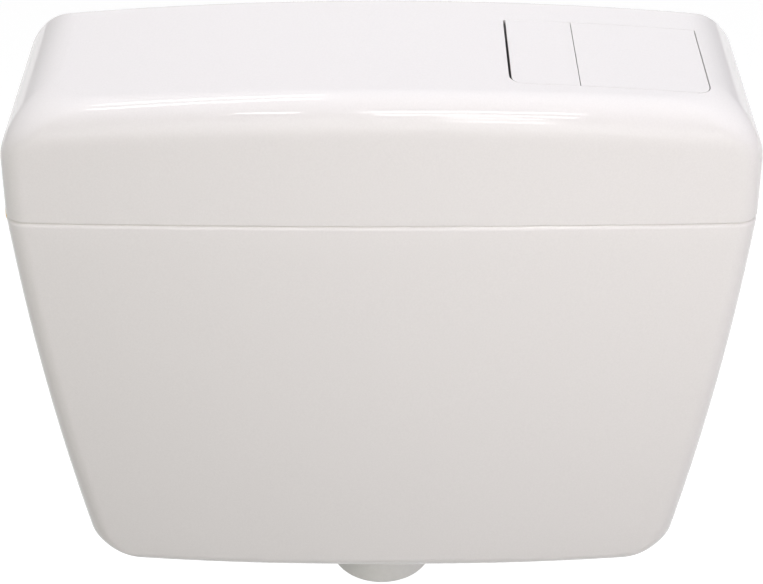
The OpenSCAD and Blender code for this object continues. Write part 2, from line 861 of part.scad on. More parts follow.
module valve_basket() {
    wall = 2.4;
    top_t = 3;
    foot_t = 4;
    ports = 6;
    belt = 7;
    low_w = 24;
    low_h = 42;
    high_w = 16;
    high_h = 18;
    vent_r = 4;
    stem_gap = 0.5;
    color(blue) at_outlet(basket_z) difference() {
        union() {
            plain_ring(basket_r, basket_r - wall, basket_h - top_t + over);
            plain_ring(flange_r - flange_edge, basket_r - wall, foot_t);
            translate([0, 0, basket_h - top_t]) cylinder(r = basket_r, h = top_t);
        }
        translate([0, 0, basket_h - 2*top_t]) cylinder(r = stem_r + stem_gap, h = 3*top_t);
        for (i = [0:ports - 1]) rotate(360*(i + 0.5)/ports) {
            translate([0, -low_w/2, belt]) cube([2*basket_r, low_w, low_h]);
            translate([0, -high_w/2, 2*belt + low_h]) cube([2*basket_r, high_w, high_h]);
            translate([(basket_r + stem_r)/2, 0, basket_h - 2*top_t]) cylinder(r = vent_r, h = 3*top_t);
        }
    }
}

// Overflow tube that ends below in a cone over the seal
module overflow_stem() {
    cone_in = 0.5;
    cone_top = 2;
    tip = 3;
    foot_level = seat_z - retainer_t - tip;
    cone_z = carrier_z + 2*carrier_t;
    color(blue) at_outlet(0) rotate_extrude() polygon([
        [stem_r - stem_wall, foot_level], [stem_r, foot_level], [stem_r, carrier_z],
        [seat_r - cone_in, carrier_z], [seat_r - cone_in, carrier_z + carrier_t/2],
        [stem_r + cone_top, cone_z], [stem_r, cone_z],
        [stem_r, stem_top_z], [stem_r - stem_wall, stem_top_z]]);
}

module main_seal() {
    seal_over = 1;
    color(black) at_outlet(seat_z) plain_ring(seat_r + seal_over, stem_r + seat_clear, seal_t);
}

module seal_retainer() {
    ring_w = 6;
    color(grey) at_outlet(seat_z - retainer_t)
        plain_ring(stem_r + ring_w, stem_r + seat_clear, retainer_t);
}

// Ring-shaped cup, open below, with a sleeve round the stem
module ring_cup(r_out, r_in, h) {
    difference() {
        plain_ring(r_out, r_in, h);
        translate([0, 0, -over]) plain_ring(r_out - float_wall, r_in + float_wall, h - float_wall + over);
    }
}

module stem_float() {
    rise = 8;
    basket_gap = 5;
    color(white) at_outlet(carrier_z + 2*carrier_t + rise)
        ring_cup(basket_r - basket_gap, stem_r + seat_clear, ring_float_h);
}

// Rod with three fins that sit in the overflow tube and rest on its mouth
module full_lift_rod() {
    fins = 3;
    fin_t = 2;
    rest_t = 3;
    depth = 12;
    color(grey) at_outlet(0) {
        lift_rod(stem_top_z - depth);
        for (i = [0:fins - 1]) rotate(360*i/fins) {
            translate([0, -fin_t/2, stem_top_z - depth])
                cube([stem_r - stem_wall - seat_clear, fin_t, depth + rest_t]);
            translate([0, -fin_t/2, stem_top_z]) cube([stem_r, fin_t, rest_t]);
        }
    }
}

// Rod with the collar that a rocker's nose lifts
module lift_rod(z0) {
    tip = 2;
    translate([0, 0, z0]) cylinder(r = rod_r, h = collar_z + collar_t + tip - z0);
    translate([0, 0, collar_z]) cylinder(r = collar_r, h = collar_t);
}

module half_flush_float() {
    sleeve_gap = 1;
    basket_in = 4;
    boss_wall = 2.5;
    boss_h = 9;
    top = basket_top_z + ring_float_h;
    color(white) difference() {
        union() {
            at_outlet(basket_top_z) ring_cup(basket_r - basket_in, stem_r + sleeve_gap, ring_float_h);
            translate([0, -half_lane, top - float_wall/2])
                cylinder(r = rod_r + boss_wall, h = boss_h + float_wall/2);
        }
        translate([0, -half_lane, top]) cylinder(r = rod_r + seat_clear, h = boss_h + over);
    }
}

module half_lift_rod() {
    color(grey) translate([0, -half_lane, 0]) lift_rod(basket_top_z + ring_float_h);
}

// Fill valve

// Threaded tail with its inner collar, a stub for the valve body and a relief past the nut
module inlet_tail() {
    bore = 4.5;
    relief = 1;
    relief_in = 0.8;
    nut_end = seat_out + side_nut_t;
    tail_end = nut_end + relief + inlet_free;
    color(brass) at_left() rotate_extrude() polygon([
        [bore, body_end - stub_len], [stub_r, body_end - stub_len], [stub_r, body_end],
        [side_seal_r, body_end], [side_seal_r, seat_in - side_washer_t], [inlet_r, seat_in - side_washer_t],
        [inlet_r, nut_end], [inlet_r - relief_in, nut_end], [inlet_r - relief_in, nut_end + relief],
        [inlet_r, nut_end + relief], [inlet_r, tail_end], [bore, tail_end]]);
}

// Washer on a side thread, against the tank's inner face
module side_washer() {
    tube_between(seat_in - side_washer_t, seat_in, side_seal_r, inlet_r + thread_clear);
}

module inlet_washer() { color(black) at_left() side_washer(); }

// Hexagon nut on a side thread
module side_nut(z0) {
    across_corners = 27.7;
    translate([0, 0, z0]) difference() {
        cylinder(d = across_corners, h = side_nut_t, $fn = 6);
        translate([0, 0, -over]) cylinder(r = inlet_r + thread_clear, h = side_nut_t + 2*over);
    }
}

module inlet_nut() { color(brass) at_left() side_nut(seat_out); }

module fill_valve_body() {
    body_r = 11;
    chamber_r = 7.5;
    nozzle_r = 2.5;
    port_r = 5;
    socket_wall = 2.4;
    socket_drop = 2*tube_in;
    color(white) difference() {
        union() {
            at_left() tube_between(body_in, body_end, body_r, nozzle_r);
            translate([-port_x, -inlet_d, inlet_z - socket_drop])
                cylinder(r = tube_r + socket_wall, h = socket_drop);
            valve_ears();
        }
        at_left() {
            translate([0, 0, body_end - stub_len]) cylinder(r = stub_r + seat_clear, h = stub_len + over);
            translate([0, 0, guide_x]) cylinder(r = chamber_r, h = chamber_len);
            translate([0, 0, body_in - over]) cylinder(r = piston_r + run_clear, h = guide_len + 2*over);
        }
        translate([-port_x, -inlet_d, inlet_z - socket_drop]) {
            translate([0, 0, -over]) cylinder(r = tube_r + seat_clear, h = socket_drop - tube_in + over);
            cylinder(r = port_r, h = socket_drop);
        }
        along_y([-arm_pivot_x, -inlet_d - 2*arm_w, arm_pivot_z])
            cylinder(r = arm_pin_r + seat_clear, h = 4*arm_w);
    }
}

// Two cheeks at the valve's inner end that carry the float arm
module valve_ears() {
    r = arm_pin_r + eye_wall;
    root_in = 10;
    root = -body_in - root_in;
    root_up = 3;
    root_down = 6;
    for (y = [-inlet_d + arm_w/2 + ear_gap + cheek_t, -inlet_d - arm_w/2 - ear_gap])
        upright(y, cheek_t) {
            translate([-arm_pivot_x, arm_pivot_z]) circle(r);
            polygon([[root, inlet_z + root_up], [-body_in, inlet_z + root_up],
                [r - arm_pivot_x, arm_pivot_z], [-arm_pivot_x, arm_pivot_z - r],
                [root, inlet_z - root_down]]);
        }
}

module drop_tube() {
    top = inlet_z - tube_in;
    wall = 1.5;
    color(white) translate([-port_x, -inlet_d, 0]) tube_between(top - drop_len, top, tube_r, tube_r - wall);
}

// Piston with a slender tip towards the arm's cam and a pocket for its seal
module valve_piston() {
    color(brass) at_left() difference() {
        union() {
            translate([0, 0, piston_in]) cylinder(r = tip_r, h = tip_len + over);
            translate([0, 0, piston_in + tip_len])
                cylinder(r = piston_r, h = piston_out - piston_in - tip_len);
        }
        translate([0, 0, piston_out - piston_seal_t])
            cylinder(r = piston_seal_r + seat_clear, h = piston_seal_t + over);
    }
}

module piston_seal() {
    color(black) at_left() translate([0, 0, piston_out - piston_seal_t])
        cylinder(r = piston_seal_r, h = piston_seal_t);
}

// Turns what is drawn with the arm level to the slope that it has in an empty tank
module at_arm() {
    translate([-arm_pivot_x, -inlet_d, arm_pivot_z]) rotate([0, arm_rest, 0]) children();
}

// Places what hangs upright on the pin at the arm's end
module at_float() {
    translate([arm_len*cos(arm_rest) - arm_pivot_x, -inlet_d, arm_pivot_z - arm_len*sin(arm_rest)])
        children();
}

// Arm with a cam that pushes the piston, a ribbed bar and a fork for the float's screw
module float_arm() {
    r = arm_pin_r + eye_wall;
    bar_t = 4;
    bar_h = 8;
    foot_w = 9;
    foot_t = 2;
    cam_side = 2;
    cam_w = arm_w - 2*cam_side;
    cam_turn = 90 + arm_rest - arm_swing;
    fork_in = link_w/2 + ear_gap;
    bridge_gap = 2;
    bridge_len = 6;
    bridge_end = arm_len - link_r - bridge_gap;
    bridge_start = bridge_end - bridge_len;
    color(white) at_arm() difference() {
        union() {
            along_y([0, -arm_w/2, 0]) cylinder(r = r, h = arm_w);
            rotate([0, -cam_turn, 0]) {
                translate([0, -cam_w/2, -cam_web]) cube([cam_len, cam_w, 2*cam_web]);
                along_y([cam_len, -cam_w/2, 0]) cylinder(r = cam_r, h = cam_w);
            }
            translate([0, -bar_t/2, -bar_h/2]) cube([bridge_end, bar_t, bar_h]);
            translate([0, -foot_w/2, -bar_h/2]) cube([bridge_end, foot_w, foot_t]);
            translate([bridge_start, -fork_in - cheek_t, -bar_h/2])
                cube([bridge_end - bridge_start, 2*(fork_in + cheek_t), bar_h]);
            for (y = [-fork_in, fork_in + cheek_t]) upright(y, cheek_t) {
                translate([bridge_start, -bar_h/2]) square([arm_len - bridge_start, bar_h]);
                translate([arm_len, 0]) circle(r);
            }
        }
        along_y([0, -arm_w, 0]) cylinder(r = arm_pin_r + run_clear, h = 2*arm_w);
        along_y([arm_len, -arm_w, 0]) cylinder(r = arm_pin_r + seat_clear, h = 2*arm_w);
    }
}

// Plain pin along Y through an eye of a width and the cheeks on both sides of it
module cheek_pin(eye_w) {
    pin_out = 1;
    reach = eye_w/2 + ear_gap + cheek_t + pin_out;
    along_y([0, -reach, 0]) cylinder(r = arm_pin_r, h = 2*reach);
}

module float_hang_pin() { color(steel) at_float() cheek_pin(link_w); }

module float_pivot_pin() { color(steel) at_arm() cheek_pin(arm_w); }

// Threaded rod with the eye that hangs on the arm's pin
module float_screw() {
    color(blue) at_float() difference() {
        union() {
            along_y([0, -link_w/2, 0]) cylinder(r = link_r, h = link_w);
            translate([0, 0, -float_hang - level_in]) cylinder(r = level_r, h = float_hang + level_in);
        }
        along_y([0, -link_w, 0]) cylinder(r = arm_pin_r + run_clear, h = 2*link_w);
    }
}

// Thumb nut that sets the float's height on its screw
module float_nut() {
    grips = 8;
    grip_r = 2.2;
    grip_in = 1.2;
    color(blue) at_float() translate([0, 0, -float_hang]) difference() {
        plain_ring(nut_r, level_r + seat_clear, nut_h);
        for (i = [0:grips - 1]) rotate(360*i/grips) translate([nut_r + grip_r - grip_in, 0, -over])
            cylinder(r = grip_r, h = nut_h + 2*over);
    }
}

// Rounded outline of the float, seen from above
module float_outline(grow) {
    r = float_corner_r + grow;
    l = float_l/2 + grow;
    w = float_w/2 + grow;
    square([2*l, 2*(w - r)], center = true);
    square([2*(l - r), 2*w], center = true);
    for (x = [r - l, l - r], y = [r - w, w - r]) translate([x, y]) circle(r);
}

// Cup, open below, with a boss for the level screw
module float_cup() {
    boss_wall = 3;
    boss_end = 2;
    boss_h = level_in + boss_end;
    color(white) at_float() translate([0, 0, -float_hang]) difference() {
        union() {
            difference() {
                translate([0, 0, -float_h]) linear_extrude(float_h) float_outline(0);
                translate([0, 0, -float_h - over]) linear_extrude(float_h - float_wall + over)
                    float_outline(-float_wall);
            }
            translate([0, 0, -boss_h]) cylinder(r = level_r + boss_wall, h = boss_h);
        }
        translate([0, 0, -level_in]) cylinder(r = level_r + seat_clear, h = level_in + over);
    }
}

// Closure of the unused inlet

module blanking_plug() {
    head_t = 3;
    head_taper = 1.5;
    wall = 2.5;
    tip = 2;
    inner_end = seat_in - side_washer_t - side_nut_t - tip;
    color(white) at_right() {
        translate([0, 0, seat_out])
            cylinder(r1 = side_seal_r, r2 = side_seal_r - head_taper, h = head_t);
        tube_between(inner_end, seat_out + head_t/2, inlet_r, inlet_r - wall);
    }
}

module blanking_washer() { color(black) at_right() side_washer(); }

module blanking_nut() { color(white) at_right() side_nut(seat_in - side_washer_t - side_nut_t); }

tank_shell();
lid_shell();
half_flush_key();
full_flush_key();
key_frame();
frame_screws();
key_hinge_pin();
lever_bracket();
half_rocker();
full_rocker();
half_pivot_pin();
full_pivot_pin();
outlet_body();
outlet_washer();
outlet_backnut();
union_nut();
pipe_seal();
valve_basket();
overflow_stem();
main_seal();
seal_retainer();
stem_float();
full_lift_rod();
half_flush_float();
half_lift_rod();
inlet_tail();
inlet_washer();
inlet_nut();
fill_valve_body();
drop_tube();
valve_piston();
piston_seal();
float_arm();
float_hang_pin();
float_screw();
float_nut();
float_cup();
float_pivot_pin();
blanking_plug();
blanking_washer();
blanking_nut();
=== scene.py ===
"""The looks of a wall-hung toilet cistern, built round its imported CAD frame."""
import json
import math

import bmesh
import bpy
import numpy as np
from mathutils import Matrix, Vector
from mathutils.bvhtree import BVHTree
from mathutils.interpolate import poly_3d_calc


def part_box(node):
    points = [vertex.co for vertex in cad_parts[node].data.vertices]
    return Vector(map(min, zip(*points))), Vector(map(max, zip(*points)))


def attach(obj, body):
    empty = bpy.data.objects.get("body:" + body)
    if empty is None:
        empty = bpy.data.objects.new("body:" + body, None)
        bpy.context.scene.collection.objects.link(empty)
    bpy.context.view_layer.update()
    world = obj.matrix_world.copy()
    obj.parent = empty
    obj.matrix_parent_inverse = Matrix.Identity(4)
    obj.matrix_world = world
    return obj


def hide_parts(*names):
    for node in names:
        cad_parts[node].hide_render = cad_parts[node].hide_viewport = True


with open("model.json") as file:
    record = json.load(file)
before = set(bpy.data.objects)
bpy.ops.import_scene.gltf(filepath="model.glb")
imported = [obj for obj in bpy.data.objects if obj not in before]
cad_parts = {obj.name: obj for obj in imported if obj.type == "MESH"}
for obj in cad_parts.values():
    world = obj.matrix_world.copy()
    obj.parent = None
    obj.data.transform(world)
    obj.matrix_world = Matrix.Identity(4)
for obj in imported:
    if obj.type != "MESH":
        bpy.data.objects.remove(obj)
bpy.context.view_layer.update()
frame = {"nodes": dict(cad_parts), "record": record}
scene = bpy.context.scene
MM = 0.001
BODY = {node: body for body, nodes in frame["record"]["behaviour"]["bodies"].items() for node in nodes}
SLOT = {part["node"]: part["material_slot"] for part in frame["record"]["subparts"]}

# Sizes in millimetres: those of the CAD source, and this file's own for the gaps round the keys,
# the rim's rounding, the threads and the small edges
RIM_W, BOTTOM_W, SIDE_BULGE = 430.0, 362.0, 4.7
RIM_D, BOTTOM_D, FRONT_BOW = 129.0, 125.0, 3.6
TANK_H, TANK_WALL, CORNER_R = 265.5, 4.2, 14.0
BOTTOM_SIDE_R, BOTTOM_FRONT_R, FLOOR_FALL, FLOOR_FLAT = 27.0, 9.0, 4.0, 45.0
LIP_H, LIP_IN, RIM_ROUND_R = 7.0, 2.8544, 4.0
LID_H, LID_DRAFT, LID_CROWN, LID_WALL = 77.0, 0.75, 11.0, 2.4
LID_SIDE_R, LID_FRONT_R, LID_REAR_R, LID_TOP_CORNER_R = 32.0, 20.0, 4.0, 26.0
RIM_Z, LID_TOP_Z, BOTTOM_Z = 28.0, 105.0, -237.5
CROWN_R = ((RIM_W/2)**2 + LID_CROWN**2)/(2*LID_CROWN)
SLOT_X, SLOT_LEN, SLOT_W, SLOT_RIM, SLOT_PAD = 115.0, 16.0, 8.0, 6.0, 2.5
OUTLET_D, SPIGOT_R, SPIGOT_HOLE_R, OUTLET_SPOT_R = 66.0, 29.8, 30.2, 44.0
WASHER_Z, BACKNUT_Z, UNION_Z, SPIGOT_Z, FLANGE_Z = -233.8, -237.0, -277.5, -267.5, -230.8
INLET_D, INLET_Z, INLET_R, INLET_HOLE_R, INLET_SPOT_R = 52.0, -10.0, 8.33, 8.73, 15.5
SEAT_IN, SEAT_OUT = 206.9394, 211.1394
KEY_LEFT, KEY_RIGHT, KEY_SPLIT, KEY_FRONT, KEY_REAR, KEY_CORNER_R = 71.3, 184.7, 110.9, 103.0, 26.0, 9.0
GAP_LEFT, GAP_MID, GAP_RIGHT, GAP_FRONT, GAP_REAR, GAP_CORNER = 1.4, 0.35, 0.65, 0.12, 0.1, 0.45
KEY_T, KEY_SKIRT, KEY_RIM = 3.0, 8.0, 2.0
HINGE_D, HINGE_Z, HINGE_HOLE_R, LUG_R, LUG_W, LUG_IN = 31.0, 90.5, 2.08, 4.2, 5.0, 6.0
FOOT_D, FOOT_Z, FOOT_R, FOOT_W, LEG_W, LEG_T = 88.0, 72.4, 4.0, 16.0, 12.0, 4.0
HALF_FOOT_X, FULL_FOOT_X = 91.1, 147.8
SCREW_XS, SCREW_DS, SCREW_Z, SCREW_R = (87.3, 162.7), (111.0, 18.0), 84.3, 1.25
BOSS_R, BOSS_Z, BOSS_IN = 4.0, 86.8, 1.9
RIB_XS, RIB_T, RIB_H, RIB_FRONT, RIB_REAR = (-150.0, -90.0, -30.0, 30.0), 1.6, 8.0, 106.0, 9.4
LIP_EDGE, LID_FOOT_R, KEY_FILLET, KEY_INNER_R, LUG_NECK_IN = 0.4, 0.5, 0.2, 0.3, 1.0
UNION_R, UNION_H, UNION_BEAD, UNION_BEVEL, UNION_FLOOR = 34.0, 28.0, 4.0, 1.2, 4.0
UNION_MOUTH_R, UNION_THREAD_R, UNION_CHAMFER = 26.05, 29.9, 0.6
SOCKET_R, SOCKET_H, SOCKET_CHAMFER, PORT_R, PORT_TAPER = 25.25, 28.0, 1.0, 22.5, 2.75
FLANGE_R, FLANGE_T, FLANGE_EDGE, FLANGE_BREAK, SPIGOT_CHAMFER = 41.0, 4.0, 0.6, 0.8, 1.4
VALVE_SEAT_R, VALVE_SEAT_BORE_R, VALVE_SEAT_H, VALVE_SEAT_EDGE = 28.5, 25.5, 4.0, 0.5
SPIGOT_PITCH, SPIGOT_THREAD, SPIGOT_PLAIN = 2.3, 1.1, 7.0
INLET_BORE_R, INLET_SPOUT_R, INLET_COLLAR_R, INLET_EDGE, INLET_CHAMFER = 4.5, 7.0, 12.5, 0.5, 0.9
INLET_WASHER_T, INLET_COLLAR_T, INLET_SPOUT, INLET_NUT_T, INLET_TAIL = 2.5, 3.0, 9.0, 6.0, 11.0
INLET_MOUTH, INLET_PITCH, INLET_THREAD = 0.7, 1.34, 0.75
PLUG_BORE_R, PLUG_IN, PLUG_CHAMFER, PLUG_EDGE, PLUG_PLAIN = 5.83, 8.0, 0.8, 0.3, 2.0
PLUG_R, PLUG_RIM_R, PLUG_TOP_R, PLUG_DISH_R, PLUG_T, PLUG_DISH = 12.5, 11.5, 10.7, 9.0, 3.0, 0.6
SCREW_HEAD_R, SCREW_HEAD_T, SCREW_FLAT_R, SCREW_DOME = 3.2, 2.2, 1.2, 1.1
SCREW_LEN, SCREW_POINT, SCREW_POINT_R = 10.5, 0.9, 0.3
SCREW_PLAIN, SCREW_PITCH, SCREW_THREAD = 0.6, 1.1, 0.35
CROSS_R, CROSS_W, CROSS_DEPTH = 1.6, 0.3, 1.1
LEVEL_R, LEVEL_CHAMFER, LEVEL_PLAIN, LEVEL_PITCH, LEVEL_THREAD = 3.0, 0.8, 6.0, 1.75, 0.6
EYE_R, EYE_LEN, EYE_EDGE, EYE_HOLE_R, EYE_SINK = 4.5, 8.0, 0.4, 2.08, 2.0
# Lengths and starts of the tools that cut or join, which pass the walls or end inside them
SINK, PAST = 1.0, 2.0
SLOT_CUT, SLOT_CUT_START, SPIGOT_CUT, SPIGOT_CUT_LOW = 30.0, -20.0, 20.0, 8.0
INLET_CUT, INLET_CUT_IN, INLET_SPOT_CUT = 16.0, 7.0, 4.0
PILOT_SLACK, PILOT_CUT, PILOT_CUT_LOW, WINDOW_CUT, WINDOW_CUT_Z = 0.05, 9.0, 0.5, 40.0, 78.0

# Steps round the corners, along the front, round the edges and up the walls
CORNER_N, FRONT_N, EDGE_N, WALL_N = 14, 40, 18, 14
KEY_CORNER_N, KEY_FRONT_N, KEY_FILLET_N, WINDOW_CORNER_N, RIM_N = 12, 16, 6, 12, 8
# Steps round bars, small bores, turned pieces, a bead and a dome, and along one turn of a thread
BAR_N, PILOT_N, UNION_N, SPIGOT_N, LEVEL_N, BEAD_N, DOME_N, THREAD_N = 48, 32, 192, 160, 64, 9, 7, 8
# Degrees below which neighbouring CAD faces are one flat, degrees above which a CAD edge is broken,
# and the width of that break in millimetres
FLAT_ANGLE, BROKEN_ANGLE, EDGE_BREAK = 0.5, 40, 0.25
# Metres below which two points are one, in turned pieces and in CAD meshes
SAME_POINT, SAME_CAD_POINT = 1e-7, 1e-6
# Degrees above which an edge shows as an edge
SHARP = 32


# The shells' form, the same formulas as the CAD source with finer steps

def half_w(depth):
    t = depth/TANK_H
    return (RIM_W + (BOTTOM_W - RIM_W)*t)/2 + 4*SIDE_BULGE*t*(1 - t)


def crown(x):
    return CROWN_R - np.sqrt(CROWN_R**2 - np.square(x))


def floor_rise(x):
    return FLOOR_FALL*np.square(np.maximum(0, np.abs(x) - FLOOR_FLAT)/(BOTTOM_W/2 - FLOOR_FLAT))


def drawn_in(r, s):
    """How far a quarter-round edge draws in, at a distance from the face that it meets."""
    return 0.0 if s >= r else r - math.sqrt(r*r - (r - s)**2)


def ring(w, d, r, back, level):
    """One level ring of a shell: its front from left to right, then its back from right to left."""
    a = np.radians(np.linspace(0, 90, CORNER_N + 1))
    xs = np.concatenate([
        r - w - r*np.cos(a), (w - r)*(2*np.arange(1, FRONT_N)/FRONT_N - 1), w - r + r*np.sin(a)])
    past = np.abs(xs) - (w - r)
    corner = d - r + np.sqrt(np.maximum(0, r*r - np.square(np.maximum(0, past))))
    front = np.where(past > 0, corner, d + FRONT_BOW*(1 - np.square(xs/(w - r))))
    z = level(xs)
    row = np.stack([xs, -front, z], 1)
    rear = np.stack([xs, np.full_like(xs, -back), z], 1)[::-1]
    return np.concatenate([row, rear])


def tank_ring(up, inset, edge=0.0):
    depth = TANK_H - up
    under = max(0.0, depth)
    above = max(0.0, up - inset)
    flow = max(0.0, 1 - above/BOTTOM_SIDE_R)
    d = RIM_D + (BOTTOM_D - RIM_D)*under/TANK_H
    return ring(
        half_w(under) - inset - edge - drawn_in(BOTTOM_SIDE_R - inset, above),
        d - inset - edge - drawn_in(BOTTOM_FRONT_R - inset, above),
        CORNER_R - inset - edge, inset,
        lambda x: RIM_Z - depth + flow*floor_rise(x))


def lid_ring(up, inset, edge=0.0):
    below = LID_H - inset - up
    rise = min(1.0, up/(LID_H - LID_SIDE_R))
    blend = max(0.0, 1 - below/LID_FRONT_R)
    return ring(
        RIM_W/2 - LID_DRAFT*rise - inset - edge - drawn_in(LID_SIDE_R - inset, below),
        RIM_D - LID_DRAFT*rise - inset - edge - drawn_in(LID_FRONT_R - inset, below),
        CORNER_R - inset - edge + (LID_TOP_CORNER_R - CORNER_R)*blend,
        inset + edge + drawn_in(LID_REAR_R, below),
        lambda x: RIM_Z + up - crown(x)*rise)


def edge_steps(r):
    return [r*(1 - math.cos(math.radians(90*i/EDGE_N))) for i in range(EDGE_N + 1)]


def key_ring(x0, x1, front, rear, left_r, right_r, inset, drop):
    """One ring of a key: rounded front corners, a straight rear, and the lid's crown for its level."""
    least = 0.05
    left, right = max(least, left_r - inset), max(least, right_r - inset)
    x0, x1, front, rear = x0 + inset, x1 - inset, front - inset, rear + inset
    a = np.radians(np.linspace(0, 90, KEY_CORNER_N + 1))
    middle = np.linspace(x0 + left, x1 - right, KEY_FRONT_N)[1:-1]
    xs = np.concatenate([x0 + left - left*np.cos(a), middle, x1 - right + right*np.sin(a)])
    ys = np.concatenate([
        front - left + left*np.sin(a), np.full_like(middle, front), front - right + right*np.cos(a)])
    z = LID_TOP_Z - crown(xs) - drop
    row = np.stack([xs, -ys, z], 1)
    back = np.stack([xs, np.full_like(xs, -rear), z], 1)[::-1]
    return np.concatenate([row, back])


def window_distance(p):
    """Distance of a point from the key window's edge, seen from above; negative inside the window."""
    x, y = p.x, -p.y
    cx = min(max(x, KEY_LEFT + KEY_CORNER_R), KEY_RIGHT - KEY_CORNER_R)
    cy = KEY_FRONT - KEY_CORNER_R
    if y > cy and x != cx:
        return math.hypot(x - cx, y - cy) - KEY_CORNER_R
    return max(KEY_LEFT - x, x - KEY_RIGHT, y - KEY_FRONT, KEY_REAR - y)


# Mesh tools

def new_object(name, bm):
    bmesh.ops.recalc_face_normals(bm, faces=bm.faces)
    mesh = bpy.data.meshes.new(name)
    bm.to_mesh(mesh)
    bm.free()
    obj = bpy.data.objects.new(name, mesh)
    scene.collection.objects.link(obj)
    return obj


def loft(name, rings):
    """A closed skin through a list of rings, with a strip of faces over its first and its last ring."""
    bm = bmesh.new()
    rows = [[bm.verts.new(Vector(p)*MM) for p in one] for one in rings]
    n = len(rows[0])
    for low, high in zip(rows, rows[1:]):
        for j in range(n):
            bm.faces.new((low[j], low[(j + 1) % n], high[(j + 1) % n], high[j]))
    for row in (rows[0], rows[-1]):
        for j in range(n//2 - 1):
            bm.faces.new((row[j], row[j + 1], row[n - 2 - j], row[n - 1 - j]))
    return new_object(name, bm)


def turned(name, outline, at, axis, thread=None, steps=128):
    """A body of revolution from a closed outline of radii and levels, set on a point and an axis.

    A thread is given as its radius, its first and last level, its pitch and its depth."""
    points = []
    for (r0, z0), (r1, z1) in zip(outline, outline[1:] + outline[:1]):
        points.append((r0, z0))
        if thread and r0 == r1 == thread[0]:
            count = max(1, round(abs(z1 - z0)/thread[3]*THREAD_N))
            points += [(r0, z0 + (z1 - z0)*i/count) for i in range(1, count)]
    turn = Vector((0, 0, 1)).rotation_difference(Vector(axis)).to_matrix()
    bm = bmesh.new()
    columns = []
    for k in range(steps):
        angle = math.tau*k/steps
        column = []
        for r, z in points:
            if thread and r == thread[0] and thread[1] < z < thread[2]:
                _, low, high, pitch, depth = thread
                fade = min(1.0, (z - low)/pitch, (high - z)/pitch)
                r -= depth*fade*abs(2*((z/pitch - k/steps) % 1.0) - 1)
            spot = Vector((r*math.cos(angle), r*math.sin(angle), z))
            column.append(bm.verts.new((Vector(at) + turn @ spot)*MM))
        columns.append(column)
    n = len(points)
    for k in range(steps):
        here, there = columns[k], columns[(k + 1) % steps]
        for j in range(n):
            bm.faces.new((here[j], there[j], there[(j + 1) % n], here[(j + 1) % n]))
    bmesh.ops.remove_doubles(bm, verts=bm.verts, dist=SAME_POINT)
    return new_object(name, bm)


def drum(r, length, at, axis, segments=96):
    """A round bar from a point along an axis, used to cut or to join."""
    return turned("tool", [(0, 0), (r, 0), (r, length), (0, length)], at, axis, steps=segments)


def prism(outline, axis, start, length):
    """A flat outline, swept along Y or Z from a level, used to cut or to join."""
    bm = bmesh.new()
    rows = []
    for level in (start, start + length):
        points = [(u, level, v) if axis == "y" else (u, v, level) for u, v in outline]
        rows.append([bm.verts.new(Vector(p)*MM) for p in points])
    n = len(outline)
    for j in range(n):
        bm.faces.new((rows[0][j], rows[0][(j + 1) % n], rows[1][(j + 1) % n], rows[1][j]))
    bm.faces.new(rows[0])
    bm.faces.new(rows[1])
    return new_object("tool", bm)


def oblong(x0, x1, y0, y1):
    return [(x0, y0), (x1, y0), (x1, y1), (x0, y1)]


def stadium(x, length, width, steps=20):
    """A slot's outline in X and Z."""
    reach = (length - width)/2
    points = []
    for k in range(2*steps + 2):
        end = 1 if k <= steps else -1
        a = math.radians(-90 + 180*(k - (0 if k <= steps else 1))/steps)
        points.append((x + end*reach + width/2*math.cos(a), width/2*math.sin(a)))
    return points


def carve(obj, tools, operation="DIFFERENCE"):
    """Cuts the tools from an object, or joins them to it, and removes them."""
    for tool in tools:
        mod = obj.modifiers.new("carve", "BOOLEAN")
        mod.object, mod.operation, mod.solver = tool, operation, "EXACT"
        mesh = bpy.data.meshes.new_from_object(obj.evaluated_get(bpy.context.evaluated_depsgraph_get()))
        obj.modifiers.clear()
        obj.data = mesh
        bpy.data.objects.remove(tool)


def round_edges(obj, chosen, width, segments=3):
    """Rounds the sharp edges whose two ends both pass a test."""
    bm = bmesh.new()
    bm.from_mesh(obj.data)
    least = 0.6
    sharp = [e for e in bm.edges if e.calc_face_angle(0) > least]
    edges = [e for e in sharp if all(chosen(v.co/MM) for v in e.verts)]
    bmesh.ops.bevel(bm, geom=edges, offset=width*MM, segments=segments, profile=0.5, affect="EDGES")
    bm.to_mesh(obj.data)
    bm.free()


def smooth(obj):
    obj.data.shade_smooth()
    obj.data.set_sharp_from_angle(angle=math.radians(SHARP))


def keep_gloss(obj, uncut):
    """Gives the faces that lie on a shell as it was lofted its normals, weighted by area.

    So a cut leaves no crease in the gloss, and a flat stays flat up to its rounded edge."""
    corners = [v.co for v in uncut.vertices]
    faces = [list(f.vertices) for f in uncut.polygons]
    blended = [Vector() for _ in corners]
    for face in uncut.polygons:
        for j in face.vertices:
            blended[j] += face.normal*face.area
    tree = BVHTree.FromPolygons(corners, faces)
    inward, on_skin, alike = 0.02, 0.02*MM, 0.9
    mesh = obj.data
    normals = [Vector()]*len(mesh.loops)
    for face in mesh.polygons:
        for i in face.loop_indices:
            spot = mesh.vertices[mesh.loops[i].vertex_index].co
            _, _, number, gap = tree.find_nearest(spot.lerp(face.center, inward))
            if gap > on_skin:
                continue
            shares = poly_3d_calc([corners[j] for j in faces[number]], spot)
            parts = (blended[j].normalized()*share for j, share in zip(faces[number], shares))
            normal = sum(parts, Vector()).normalized()
            if normal.dot(face.normal) > alike:
                normals[i] = normal
    mesh.normals_split_custom_set(normals)


def dress(obj, node):
    """Gives a piece the finish and the body of the CAD node that it stands for."""
    obj.data.materials.clear()
    obj.data.materials.append(FINISH[SLOT[node]])
    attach(obj, BODY[node])
    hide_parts(node)
    built.add(node)


# Materials

